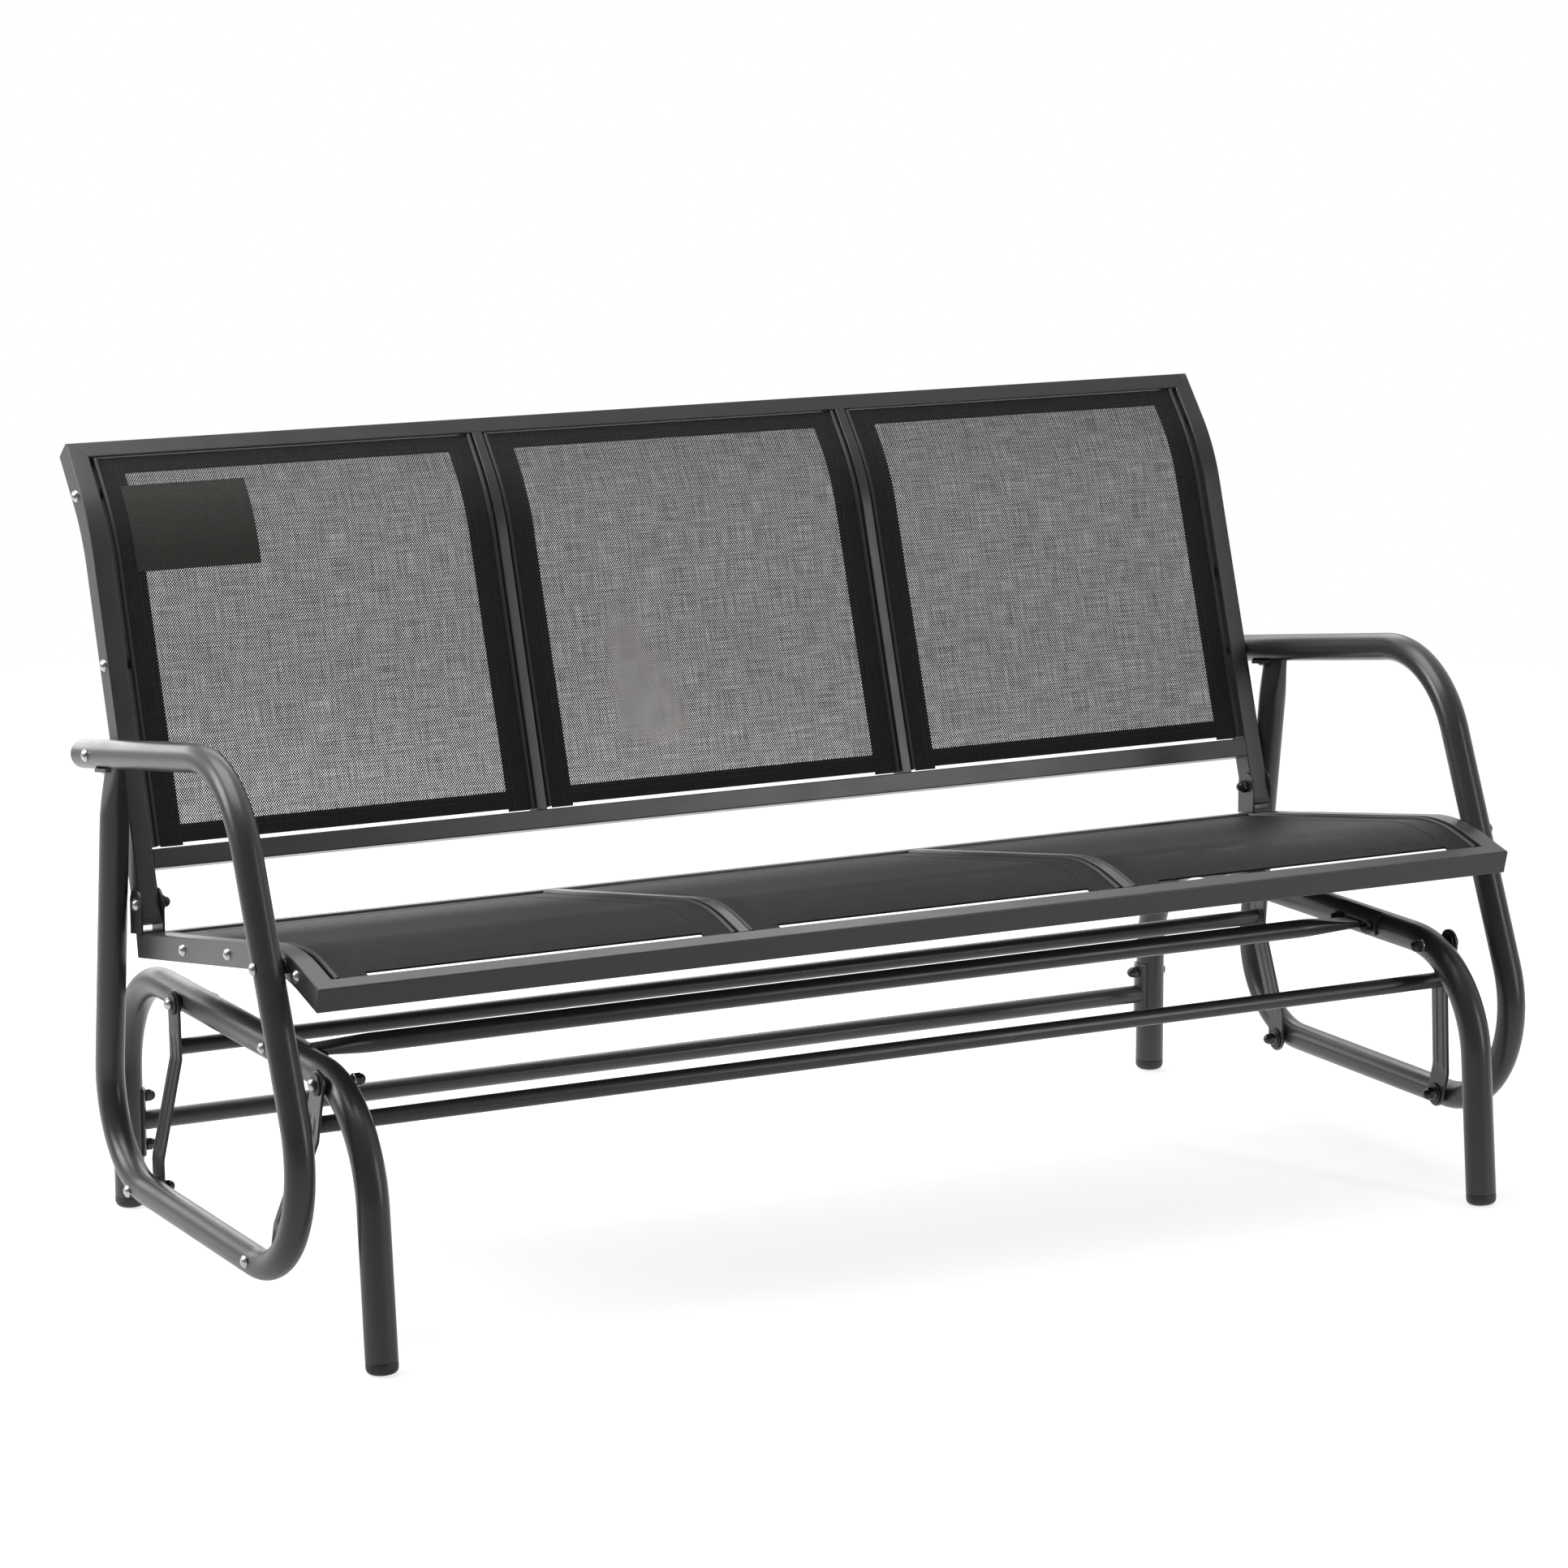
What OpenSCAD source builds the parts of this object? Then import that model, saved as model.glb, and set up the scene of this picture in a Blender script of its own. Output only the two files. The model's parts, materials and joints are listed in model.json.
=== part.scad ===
// Outdoor rocking bench for three: two bent arm loops carry a seat frame and a back frame
// with stretched slings, and hang on four joggled links from a standing tube base.
// Frame: +X is to the right of someone who looks at the bench's front, -Y is the front, +Z is up,
// and the floor is z = 0. All sizes are in millimetres.

/* [Arm loops] */
// Distance between the centrelines of the two arm loops
arm_span = 1480; // [1200:10:2000]
// Outer diameter of the arm loop tube
arm_d = 32; // [26:1:36]
// Wall of the arm loop tube
arm_wall = 1.8; // [1:0.1:3]
// Depth position of the rear end of the armrest
arm_rear_y = 271; // [255:1:290]
// Height of the rear end of the armrest's centreline
arm_rear_h = 536.7; // [520:0.1:555]
// Rise of the armrest towards the front, in degrees
arm_slope = 8.7; // [4:0.1:12]
// Depth position of the corner where the armrest turns down
arm_front_y = -157; // [-180:1:-130]
// Depth position of the corner at the loop's front foot
arm_toe_y = -386; // [-410:1:-360]
// Depth position of the corner at the loop's rear foot
arm_heel_y = 233; // [220:1:250]
// Depth position of the upright's top end
upright_top_y = 176; // [160:1:190]
// Bend radius between the armrest and the front leg
arm_front_r = 130; // [90:1:160]
// Bend radius at the loop's front foot
arm_toe_r = 123; // [90:1:150]
// Bend radius at the loop's rear foot
arm_heel_r = 110; // [80:1:140]
// Length of the crimped top of the upright
crimp_len = 60; // [30:1:80]
// Thickness across the bench of the crimped top
crimp_t = 13; // [8:1:20]

/* [Base] */
// Outer diameter of the base tube
base_d = 34; // [28:1:38]
// Wall of the base tube
base_wall = 2; // [1:0.1:3]
// Height of the centreline of the base's top rails
base_h = 282; // [260:1:310]
// Depth position of the front feet on the floor
foot_front_y = -365.5; // [-380:0.5:-350]
// Depth position of the front corners of the base
base_front_y = -337; // [-350:1:-325]
// Depth position of the rear corners of the base
base_rear_y = 347; // [335:1:360]
// Depth position of the rear feet on the floor
foot_rear_y = 346; // [335:1:365]
// Bend radius of the base's corners
base_bend_r = 127; // [100:1:140]
// Length of a foot plug below the tube
foot_len = 13; // [10:1:20]
// Rounding of a foot plug's rim
foot_round = 8; // [4:0.5:10]
// Length of the spigots that hold plugs and caps in the tubes
spigot_len = 15; // [8:1:30]
// Diameter of the base's front crossbar
front_bar_d = 21; // [16:1:26]
// Depth position of the base's front crossbar
front_bar_y = -130; // [-150:1:-110]
// Diameter of the base's rear crossbar
rear_bar_d = 22; // [16:1:26]
// Height of the base's rear crossbar
rear_bar_h = 97; // [85:1:110]
// Thickness of the saddle plates that hold the crossbars
saddle_t = 3; // [2:0.5:4]
// Length of a front saddle plate
front_saddle_len = 82; // [76:1:100]
// Length of a rear saddle plate
rear_saddle_len = 77; // [74:1:90]
// Distance between the two bolts of a front saddle
front_saddle_pitch = 60; // [56:1:66]
// Distance between the two bolts of a rear saddle
rear_saddle_pitch = 56; // [52:1:60]
// Arc of the base tube that a saddle plate covers, in degrees
saddle_wrap = 90; // [80:5:110]
// Turn of the front saddle plates up from level, in degrees
front_saddle_tilt = 19; // [10:1:30]
// Wall of the crossbar tubes
bar_wall = 1.5; // [1:0.1:2.5]
// Length of the squashed ends of the base's front crossbar
squash_len = 40; // [25:1:60]
// Thickness of the squashed ends
squash_t = 9; // [7:0.5:12]

/* [Links] */
// Distance between a link's two pivots
link_len = 200; // [180:1:215]
// Width of a link
link_w = 30; // [27:1:34]
// Sheet thickness of a link
link_t = 3; // [2:0.5:4]
// Sideways joggle between a link's upper and lower ends
joggle = 25; // [18:1:32]
// Distance from the upper pivot to the start of the joggle
joggle_start = 60; // [58:1:75]
// Distance from the lower pivot back to the end of the joggle
joggle_end = 32; // [26:1:45]
// Lean of the front links at rest, in degrees, lower end to the rear
front_lean = 16; // [10:0.5:20]
// Lean of the rear links at rest, in degrees, lower end to the front
rear_lean = 2.5; // [0:0.5:8]
// Depth position of the front links' upper pivots
front_pivot_y = -261; // [-270:1:-245]
// Depth position of the rear links' upper pivots
rear_pivot_y = 139; // [125:1:155]
// Distance of the upper pivots below the top rail's centreline
pivot_drop = 2; // [0:0.5:5]
// Diameter of the crossbar that joins a pair of links
link_bar_d = 18; // [14:1:20]
// Distance from the upper pivot to the link crossbar
link_bar_at = 48; // [44:1:50]
// Half the width of the pressed ribs
rib_r = 2.4; // [1.5:0.1:3]
// Height of the pressed ribs
rib_h = 1.2; // [0.8:0.1:1.4]
// Distance between the two ribs
rib_pitch = 12; // [9:0.5:15]
// Distance from each pivot to the ends of the ribs
rib_inset = 34; // [33:1:45]

/* [Seat frame] */
// Depth position of the rear end of the seat's side rails
seat_rear_y = 178.4; // [172:0.2:184]
// Height of the top of the side rails at their rear end
seat_rear_h = 352.5; // [346:0.5:358]
// Rise of the seat towards the front, in degrees
seat_rise = 9.4; // [6:0.1:12]
// Length of the seat rail from its rear end to its corner
seat_run = 421; // [405:1:435]
// Fall of the seat's nose, in degrees
seat_nose_fall = 14.8; // [10:0.1:20]
// Length of the nose from the corner to the front
seat_nose = 98.8; // [90:0.2:108]
// Bend radius of the seat rail's top face
seat_bend_r = 220; // [150:1:260]
// Width of the rails
rail_w = 22; // [18:0.5:26]
// Depth of the seat's rails
seat_rail_depth = 27; // [24:0.5:32]
// Depth along the seat of the front rail
seat_front_rail_w = 19.5; // [16:0.5:24]
// Wall of the rectangular tubes
rail_wall = 1.5; // [1:0.1:2.5]
// Distance of the dividers from the middle of the bench
divider_x = 234; // [200:1:280]
// Width of the dividers
divider_w = 12; // [9:1:18]
// Depth of the dividers
divider_depth = 22; // [16:1:26]

/* [Back frame] */
// Distance of the back's lower end in front of the seat rail's rear end
back_foot_in = 21.2; // [17:0.2:26]
// Height of the back's lower end above the seat rail's rear end
back_foot_up = 21; // [18:0.5:27]
// Lean of the back's lower part from upright, in degrees
back_lean = 18; // [14:0.5:24]
// Length of the back rail from its lower end to its corner
back_run = 432.2; // [410:0.2:450]
// Lean of the back's upper part from upright, in degrees
back_top_lean = 40.1; // [30:0.1:46]
// Length of the upper part from the corner to the top
back_top = 105.9; // [98:0.1:115]
// Bend radius of the back rail's front face
back_bend_r = 220; // [150:1:260]
// Depth of the back's rails
back_rail_depth = 28; // [24:0.5:32]
// Height of the top rail's front face
back_top_rail_w = 19.5; // [16:0.5:24]
// Height of the bottom rail's front face
back_bottom_rail_w = 21.5; // [16:0.5:26]
// Distance along the rail from its lower end to the bottom rail
back_bottom_rail_at = 52; // [46:1:60]
// Thickness of the sheet of the corner brackets
bracket_t = 2.5; // [2:0.1:3]
// Width of a bracket's ears
bracket_w = 33; // [28:1:36]
// Height of a bracket's bolt up the back rail
bracket_bolt_up = 16; // [12:0.5:24]
// Distance of a bracket's bolt behind the rail's front face
bracket_bolt_in = 10; // [8:0.5:16]

/* [Slings] */
// Thickness of the sling fabric
cloth_t = 1.2; // [0.8:0.1:2]
// Width of the side hems
hem_w = 26; // [18:1:36]
// Height of the hems at the panels' ends
end_hem_w = 20; // [14:1:26]
// Extra thickness of a hem
hem_t = 1; // [0.6:0.1:1.6]
// Width of a sling bar
sling_bar_w = 6; // [5:0.5:8]
// Depth of a sling bar
sling_bar_depth = 19; // [16:0.5:22]
// Depth of the slot that grips a sling's edge
slot_depth = 2.7; // [2:0.1:3.2]
// Depth of the screw holes in a sling bar
bar_hole = 3.5; // [2.5:0.1:4]
// Gap between a side rail and the sling bar beside it
bar_gap = 4.5; // [3:0.5:8]
// Gap between a divider and the sling bar beside it
divider_gap = 1.5; // [1:0.25:4]
// Distance of the sling's face behind the rails' face
sling_set = 3.2; // [2:0.1:5]
// Gap between the rear rail and the seat slings
seat_sling_rear_gap = 6; // [3:0.5:12]
// Gap between the front rail and the seat slings
seat_sling_front_gap = 6; // [3:0.5:12]
// Gap between the bottom rail and the back slings
back_sling_gap = 4; // [2:0.5:8]
// Gap between the top rail and the back slings
back_sling_top_gap = 1; // [0.5:0.5:6]
// Width of the bare sewn patch on the back
patch_w = 133; // [80:1:160]
// Height of the patch along the back
patch_h = 98; // [60:1:120]
// Distance of the patch from the edge of its panel
patch_side = 28; // [28:1:60]
// Distance of the patch below the panel's upper hem
patch_drop = 14; // [8:1:60]
// Thickness of the patch
patch_t = 0.8; // [0.5:0.1:1.2]

/* [Fasteners] */
// Diameter of the pivot and arm bolts
bolt_d = 8; // [7:0.5:9]
// Diameter of the rail screws
screw_d = 6; // [5:0.5:7]
// Length of the screw that joins an upright to its armrest
joint_screw_len = 9; // [7:1:14]
// Distance along the seat rail from its rear end to the first screw
seat_screw_1 = 138; // [120:1:160]
// Distance along the seat rail from its rear end to the second screw
seat_screw_2 = 268; // [240:1:300]
// Distance along the back rail from its lower end to the first screw
back_screw_1 = 279; // [240:1:320]
// Distance of the lowest studs of the back's dividers above the bottom rail
low_stud_up = 50; // [30:1:90]
// Diameter of a bolt's head
head_d = 14; // [13:0.5:16]
// Height of a bolt's head
head_h = 4.5; // [3.5:0.5:6]
// Size across the flats of a cap nut
nut_flats = 13; // [12:0.5:15]
// Height of a cap nut's hexagon
nut_h = 6.5; // [5:0.5:8]
// Outer diameter of the pivot washers and flanges
washer_d = 24; // [20:1:26]
// Thickness of a bush's flange
flange_t = 1.8; // [1:0.1:2.5]
// Diameter of the bush's hub under the bolt head
hub_d = 14; // [12:0.5:16]
// Height of the bush's hub
hub_h = 3; // [2:0.5:5]
// Diameter of the bush's barrel in the link
barrel_d = 12; // [11:0.5:13]
// Thickness of the thin bright washers
thin_washer_t = 1.5; // [1:0.1:2]
// Distance between the base tube and the link
base_link_gap = 3; // [2:0.5:5]
// Distance between an arm loop and what is bolted inside it
arm_gap = 3; // [2:0.5:5]

/* [Hidden] */
$fn = 64;

// Fits: a pivot runs on this radial clearance, parts that move past each other keep run_gap,
// a bolt has hole_play round it in a plain hole, and a plug has plug_play in its tube.
pivot_play = 0.05;
run_gap = 0.3;
hole_play = 0.2;
plug_play = 0.1;
sling_play = 0.2;
slot_play = 0.2;
dome_inset = 0.4;
over = 1;
smooth = 96;
tube_fn = 48;
arc_steps = 12;

steel = [0.24, 0.24, 0.25];
black = [0.08, 0.08, 0.08];
zinc = [0.8, 0.8, 0.82];
cloth = [0.16, 0.16, 0.17];

// Places across the bench, worked out from the arm loops inwards
arm_x = arm_span / 2;
arm_in = arm_x - arm_d / 2;
arm_out = arm_x + arm_d / 2;
frame_x = arm_in - arm_gap;
low_link_out = arm_in - arm_gap;
low_link_in = low_link_out - link_t;
top_link_in = low_link_in - joggle;
top_link_out = top_link_in + link_t;
base_out = top_link_in - base_link_gap;
base_x = base_out - base_d / 2;
base_in = base_x - base_d / 2;
rail_in = frame_x - rail_w;

// Pivots, as places [y, z]
pivot_h = base_h - pivot_drop;
front_top = [front_pivot_y, pivot_h];
rear_top = [rear_pivot_y, pivot_h];
front_low = front_top + link_len * [sin(front_lean), -cos(front_lean)];
rear_low = rear_top + link_len * [-sin(rear_lean), -cos(rear_lean)];

// Geometry of lines and bends in the side view, with points [y, z]
function heading(p, q) = atan2(q[1] - p[1], q[0] - p[0]);
function ray(a) = [cos(a), sin(a)];
function wrap(a) = a > 180 ? a - 360 : (a < -180 ? a + 360 : a);
function line_y(p, q, h) = p[0] + (h - p[1]) * (q[0] - p[0]) / (q[1] - p[1]);
function meet(p, a, q, b) =
    let (t = ((q[0] - p[0]) * sin(b) - (q[1] - p[1]) * cos(b)) / sin(b - a)) p + t * ray(a);

// Centreline of a tube: its corner points and the bend radius at each inner corner
base_line = [[foot_front_y, 0], [base_front_y, base_h], [base_rear_y, base_h], [foot_rear_y, 0]];
base_bends = [base_bend_r, base_bend_r];
arm_low_h = (front_low[1] + rear_low[1]) / 2;
arm_front_h = arm_rear_h + (arm_rear_y - arm_front_y) * tan(arm_slope);
upright_top_h = arm_rear_h + (arm_rear_y - upright_top_y) * tan(arm_slope);
arm_line = [[arm_rear_y, arm_rear_h], [arm_front_y, arm_front_h], [arm_toe_y, arm_low_h],
    [arm_heel_y, arm_low_h], [upright_top_y, upright_top_h]];
arm_bends = [arm_front_r, arm_toe_r, arm_heel_r];

// Path of a bent rail's face: start, corner, end, bend radius, and which side its depth lies on
seat_rear = [seat_rear_y, seat_rear_h];
seat_corner = seat_rear + seat_run * ray(180 - seat_rise);
seat_front = seat_corner + seat_nose * ray(180 + seat_nose_fall);
seat_path = [seat_rear, seat_corner, seat_front, seat_bend_r, 1];
back_foot = seat_rear + [-back_foot_in, back_foot_up];
back_corner = back_foot + back_run * ray(90 - back_lean);
back_head = back_corner + back_top * ray(90 - back_top_lean);
back_path = [back_foot, back_corner, back_head, back_bend_r, -1];

function path_bend(p) = abs(wrap(heading(p[1], p[2]) - heading(p[0], p[1])));
function path_setback(p) = p[3] * tan(path_bend(p) / 2);
function path_first(p) = norm(p[1] - p[0]) - path_setback(p);
function path_second(p) = norm(p[2] - p[1]) - path_setback(p);
function path_arc(p) = p[3] * path_bend(p) * PI / 180;
function path_len(p) = path_first(p) + path_arc(p) + path_second(p);
function path_centre(p) = p[0] + path_first(p) * ray(heading(p[0], p[1]))
    + p[3] * ray(heading(p[0], p[1]) + 90 * p[4]);
function path_turn(p, s) = min(max(s - path_first(p), 0), path_arc(p)) * 180 / PI / p[3];
function path_heading(p, s) = heading(p[0], p[1]) + p[4] * path_turn(p, s);
function path_rest(p, s) = s < path_first(p) ? s - path_first(p) : max(s - path_first(p) - path_arc(p), 0);
function path_point(p, s, depth) = path_centre(p) - (p[3] - depth) * ray(path_heading(p, s) + 90 * p[4])
    + path_rest(p, s) * ray(path_heading(p, s));

// Where the slings begin and end along the two paths, and where the screws sit
seat_sling_from = rail_w + seat_sling_rear_gap;
seat_sling_to = path_len(seat_path) - seat_front_rail_w - seat_sling_front_gap;
back_sling_from = back_bottom_rail_at + back_bottom_rail_w + back_sling_gap;
back_sling_to = path_len(back_path) - back_top_rail_w - back_sling_top_gap;
seat_screws = [seat_screw_1, seat_screw_2, path_first(seat_path) + path_arc(seat_path) - screw_d];
back_screws = [back_screw_1, path_first(back_path) + path_arc(back_path) + screw_d / 2];
seat_mid = seat_rail_depth / 2;
back_mid = back_rail_depth / 2;
divider_end = divider_x + divider_w / 2;
divider_start = divider_x - divider_w / 2;

// Bolts that hold the arm loops to the frames
leg_bolt_h = path_point(seat_path, path_first(seat_path) + path_arc(seat_path) / 2, seat_mid)[1];
leg_bolt = [line_y(arm_line[1], arm_line[2], leg_bolt_h), leg_bolt_h];
rest_bolt = meet(arm_line[0], heading(arm_line[0], arm_line[1]),
    path_point(back_path, 0, back_mid), heading(back_foot, back_corner));
bracket_bolt = path_point(back_path, bracket_bolt_up, bracket_bolt_in);

// Placement helpers
module side_plane() { rotate([90, 0, 90]) children(); }
module across(x0, x1) { translate([x0, 0, 0]) side_plane() linear_extrude(x1 - x0) children(); }
module both_sides() {
    children();
    mirror([1, 0, 0]) children();
}
module at(p) { translate([0, p[0], p[1]]) children(); }
module rod_x(x0, x1, r, sides = 48) {
    translate([x0, 0, 0]) rotate([0, 90, 0]) cylinder(h = x1 - x0, r = r, $fn = sides);
}
module ring_x(x0, x1, r, bore) {
    difference() {
        rod_x(x0, x1, r);
        rod_x(x0 - over, x1 + over, bore);
    }
}

// A tube that follows a bent centreline in the side plane. Each straight run stops seam short of
// the bend beside it, and a ring inside the wall joins the two.
function corner_turn(line, i) = wrap(heading(line[i], line[i + 1]) - heading(line[i - 1], line[i]));
function setback(line, bends, i) = bends[i - 1] * tan(abs(corner_turn(line, i)) / 2);
seam = 0.002;
joint_reach = 1;
module tube_section(r, wall) {
    difference() {
        circle(r, $fn = tube_fn);
        circle(r - wall, $fn = tube_fn);
    }
}
module run(p, aim, from, to, r, wall) {
    translate([p[0], p[1], 0]) rotate([0, 90, aim]) translate([0, 0, from])
        linear_extrude(to - from) tube_section(r, wall);
}
module bent_tube(line, bends, r, wall) {
    last = len(line) - 1;
    for (i = [0:last - 1]) {
        aim = heading(line[i], line[i + 1]);
        length = norm(line[i + 1] - line[i]);
        from = i == 0 ? 0 : setback(line, bends, i) + seam;
        to = i == last - 1 ? length : length - setback(line, bends, i + 1) - seam;
        run(line[i], aim, from, to, r, wall);
        if (i > 0) run(line[i], aim, from - joint_reach, from + joint_reach, r - wall / 4, wall / 2);
        if (i < last - 1) run(line[i], aim, to - joint_reach, to + joint_reach, r - wall / 4, wall / 2);
    }
    for (i = [1:last - 1]) {
        aim = heading(line[i - 1], line[i]);
        turn = corner_turn(line, i);
        middle = bends[i - 1] * ray(aim + 90 * sign(turn));
        centre = line[i] - setback(line, bends, i) * ray(aim) + middle;
        start = turn > 0 ? aim - 90 : aim + 90 + turn;
        translate([centre[0], centre[1], 0]) rotate([0, 0, start])
            rotate_extrude(angle = abs(turn), $fn = smooth)
                translate([bends[i - 1], 0]) tube_section(r, wall);
    }
}

// The strip between two depths along a rail's path, from one distance along it to another
module depth_side(p) { if (p[4] > 0) children(); else mirror([0, 1]) children(); }
function arc_station(p, i) = path_first(p) + path_arc(p) * i / arc_steps;
function stations(p, s0, s1) =
    [s0, for (i = [0:arc_steps]) if (arc_station(p, i) > s0 && arc_station(p, i) < s1) arc_station(p, i), s1];
module strip(p, d0, d1, s0, s1) {
    stops = stations(p, s0, s1);
    last = len(stops) - 1;
    polygon([for (s = stops) path_point(p, s, d0), for (i = [last:-1:0]) path_point(p, stops[i], d1)]);
}
module band(p, d0, d1, trim0, trim1) { strip(p, d0, d1, trim0, path_len(p) - trim1); }

// The frame of a rail's far leg: x across, y along the leg from the end of its bend, z into its depth
module far_leg(p) {
    start = path_point(p, path_first(p) + path_arc(p), 0);
    translate([0, start[0], start[1]]) rotate([heading(p[1], p[2]), 0, 0])
        if (p[4] > 0) children(); else mirror([0, 0, 1]) children();
}

// Fasteners, all lying across the bench, with the head or dome outwards
module bolt(x_tip, x_seat, d) {
    rod_x(x_tip, x_seat, d / 2);
    pan_head(x_seat);
}
module pan_head(x_seat) {
    dome_r = (head_d * head_d / 4 + head_h * head_h) / (2 * head_h);
    translate([x_seat, 0, 0]) rotate([0, 90, 0]) rotate_extrude($fn = 48) intersection() {
        translate([0, head_h - dome_r]) circle(dome_r, $fn = 96);
        square([head_d / 2, head_h]);
    }
}
nut_grip = nut_h + 1;
module cap_nut(x_seat) {
    difference() {
        translate([x_seat - nut_h, 0, 0]) {
            rotate([0, 90, 0]) cylinder(h = nut_h, d = nut_flats / cos(30), $fn = 6);
            sphere(nut_flats / 2 - dome_inset, $fn = 48);
        }
        rod_x(x_seat - nut_grip - over, x_seat + over, bolt_d / 2 + plug_play);
    }
}

// Base
module base_side() {
    difference() {
        translate([base_x, 0, 0]) side_plane() bent_tube(base_line, base_bends, base_d / 2, base_wall);
        leg_end(base_line[0], base_line[1]);
        leg_end(base_line[3], base_line[2]);
        for (p = [front_top, rear_top]) at(p) rod_x(base_in - over, base_out + over, bolt_d / 2 + hole_play);
        for (p = saddle_bolts) at(p) rod_x(base_in - over, base_out + over, bolt_d / 2 + hole_play);
    }
}
// Everything of a leg below the top of its foot plug
module leg_end(foot, corner) {
    translate([base_x, foot[0], foot[1]]) rotate([heading(foot, corner) - 90, 0, 0])
        translate([0, 0, -base_d]) cylinder(h = base_d + foot_len, r = base_d);
}
module foot_plug(foot, corner) {
    r = base_d / 2;
    intersection() {
        translate([base_x, foot[0], foot[1]]) rotate([heading(foot, corner) - 90, 0, 0]) {
            translate([0, 0, -over]) rotate_extrude($fn = 64) {
                translate([0, foot_round]) square([r, foot_len + over - foot_round]);
                square([r - foot_round, foot_round]);
                intersection() {
                    translate([r - foot_round, foot_round]) circle(foot_round, $fn = 64);
                    square([r, foot_round]);
                }
            }
            translate([0, 0, foot_len]) cylinder(h = spigot_len, r = r - base_wall - plug_play);
        }
        translate([0, foot_front_y - base_d, 0])
            cube([arm_x, foot_rear_y - foot_front_y + 2 * base_d, base_h]);
    }
}
module foot_plugs() {
    color(black) both_sides() {
        foot_plug(base_line[0], base_line[1]);
        foot_plug(base_line[3], base_line[2]);
    }
}
module base_side_left() { color(steel) mirror([1, 0, 0]) base_side(); }
module base_side_right() { color(steel) base_side(); }

function rear_leg_at(h) = [line_y(base_line[2], base_line[3], h), h];
saddle_bolts = [
    [front_bar_y - front_saddle_pitch / 2, base_h],
    [front_bar_y + front_saddle_pitch / 2, base_h],
    rear_leg_at(rear_bar_h - rear_saddle_pitch / 2),
    rear_leg_at(rear_bar_h + rear_saddle_pitch / 2)
];
rear_bar_y = line_y(base_line[2], base_line[3], rear_bar_h);
saddle_r = base_d / 2 + plug_play;
saddle_out_r = saddle_r + saddle_t;

// A saddle hugs the base tube about an angle; 180 is the side that faces the bench's middle
module saddle(facing, length) {
    difference() {
        translate([0, 0, -length / 2]) linear_extrude(length) intersection() {
            difference() {
                circle(saddle_out_r, $fn = 96);
                circle(saddle_r, $fn = 96);
            }
            polygon([[0, 0], for (side = [-1, 0, 1]) 2 * base_d * ray(facing + side * saddle_wrap / 2)]);
        }
        children();
    }
}
module front_saddle_plates() {
    color(steel) both_sides() difference() {
        translate([base_x, front_bar_y, base_h]) rotate([90, 0, 0])
            saddle(180 - front_saddle_tilt, front_saddle_len);
        for (i = [0, 1]) at(saddle_bolts[i]) rod_x(base_in - 2 * base_d, base_x, bolt_d / 2 + hole_play);
    }
}
module rear_saddle_plates() {
    color(steel) both_sides() difference() {
        translate([base_x, rear_bar_y, rear_bar_h]) rotate([rear_leg_tilt, 0, 0])
            saddle(180, rear_saddle_len);
        for (i = [2, 3]) at(saddle_bolts[i]) rod_x(base_in - 2 * base_d, base_x, bolt_d / 2 + hole_play);
    }
}
rear_leg_tilt = heading(base_line[3], base_line[2]) - 90;

// A crossbar whose ends are squashed flat, lying along x
module squashed_end(r, play) {
    reach = base_x - base_d / 2 + over;
    flat = PI * r / 2 - play;
    hull() {
        rod_x(reach - 2 * squash_len, reach - 2 * squash_len + over, r - play, 32);
        translate([reach - squash_len, -flat, play - squash_t / 2])
            cube([over, 2 * flat, squash_t - 2 * play]);
    }
    translate([reach - squash_len, -flat, play - squash_t / 2])
        cube([squash_len, 2 * flat, squash_t - 2 * play]);
}
module squashed_bar(d) {
    plain = base_x - base_d / 2 + over - 2 * squash_len;
    difference() {
        union() {
            rod_x(-plain, plain, d / 2);
            both_sides() squashed_end(d / 2, 0);
        }
        rod_x(-plain, plain, d / 2 - bar_wall);
        both_sides() squashed_end(d / 2, bar_wall);
    }
}
module base_front_crossbar() {
    color(steel) difference() {
        at([front_bar_y, base_h]) squashed_bar(front_bar_d);
        both_sides() translate([base_x, front_bar_y, base_h]) rotate([90, 0, 0])
            cylinder(h = 4 * base_d, r = saddle_out_r, center = true, $fn = 96);
    }
}
rear_bar_reach = base_x - base_d / 2 + over;
module base_rear_crossbar() {
    color(steel) difference() {
        at([rear_bar_y, rear_bar_h])
            ring_x(-rear_bar_reach, rear_bar_reach, rear_bar_d / 2, rear_bar_d / 2 - bar_wall);
        both_sides() translate([base_x, rear_bar_y, rear_bar_h]) rotate([rear_leg_tilt, 0, 0])
            cylinder(h = 4 * base_d, r = saddle_out_r, center = true, $fn = 96);
    }
}
module base_bolts() {
    color(zinc) both_sides() for (p = saddle_bolts)
        at(p) bolt(base_x - saddle_out_r - nut_grip, base_out, bolt_d);
}
module base_cap_nuts() {
    color(black) both_sides() for (p = saddle_bolts) at(p) cap_nut(base_x - saddle_out_r);
}

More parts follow.
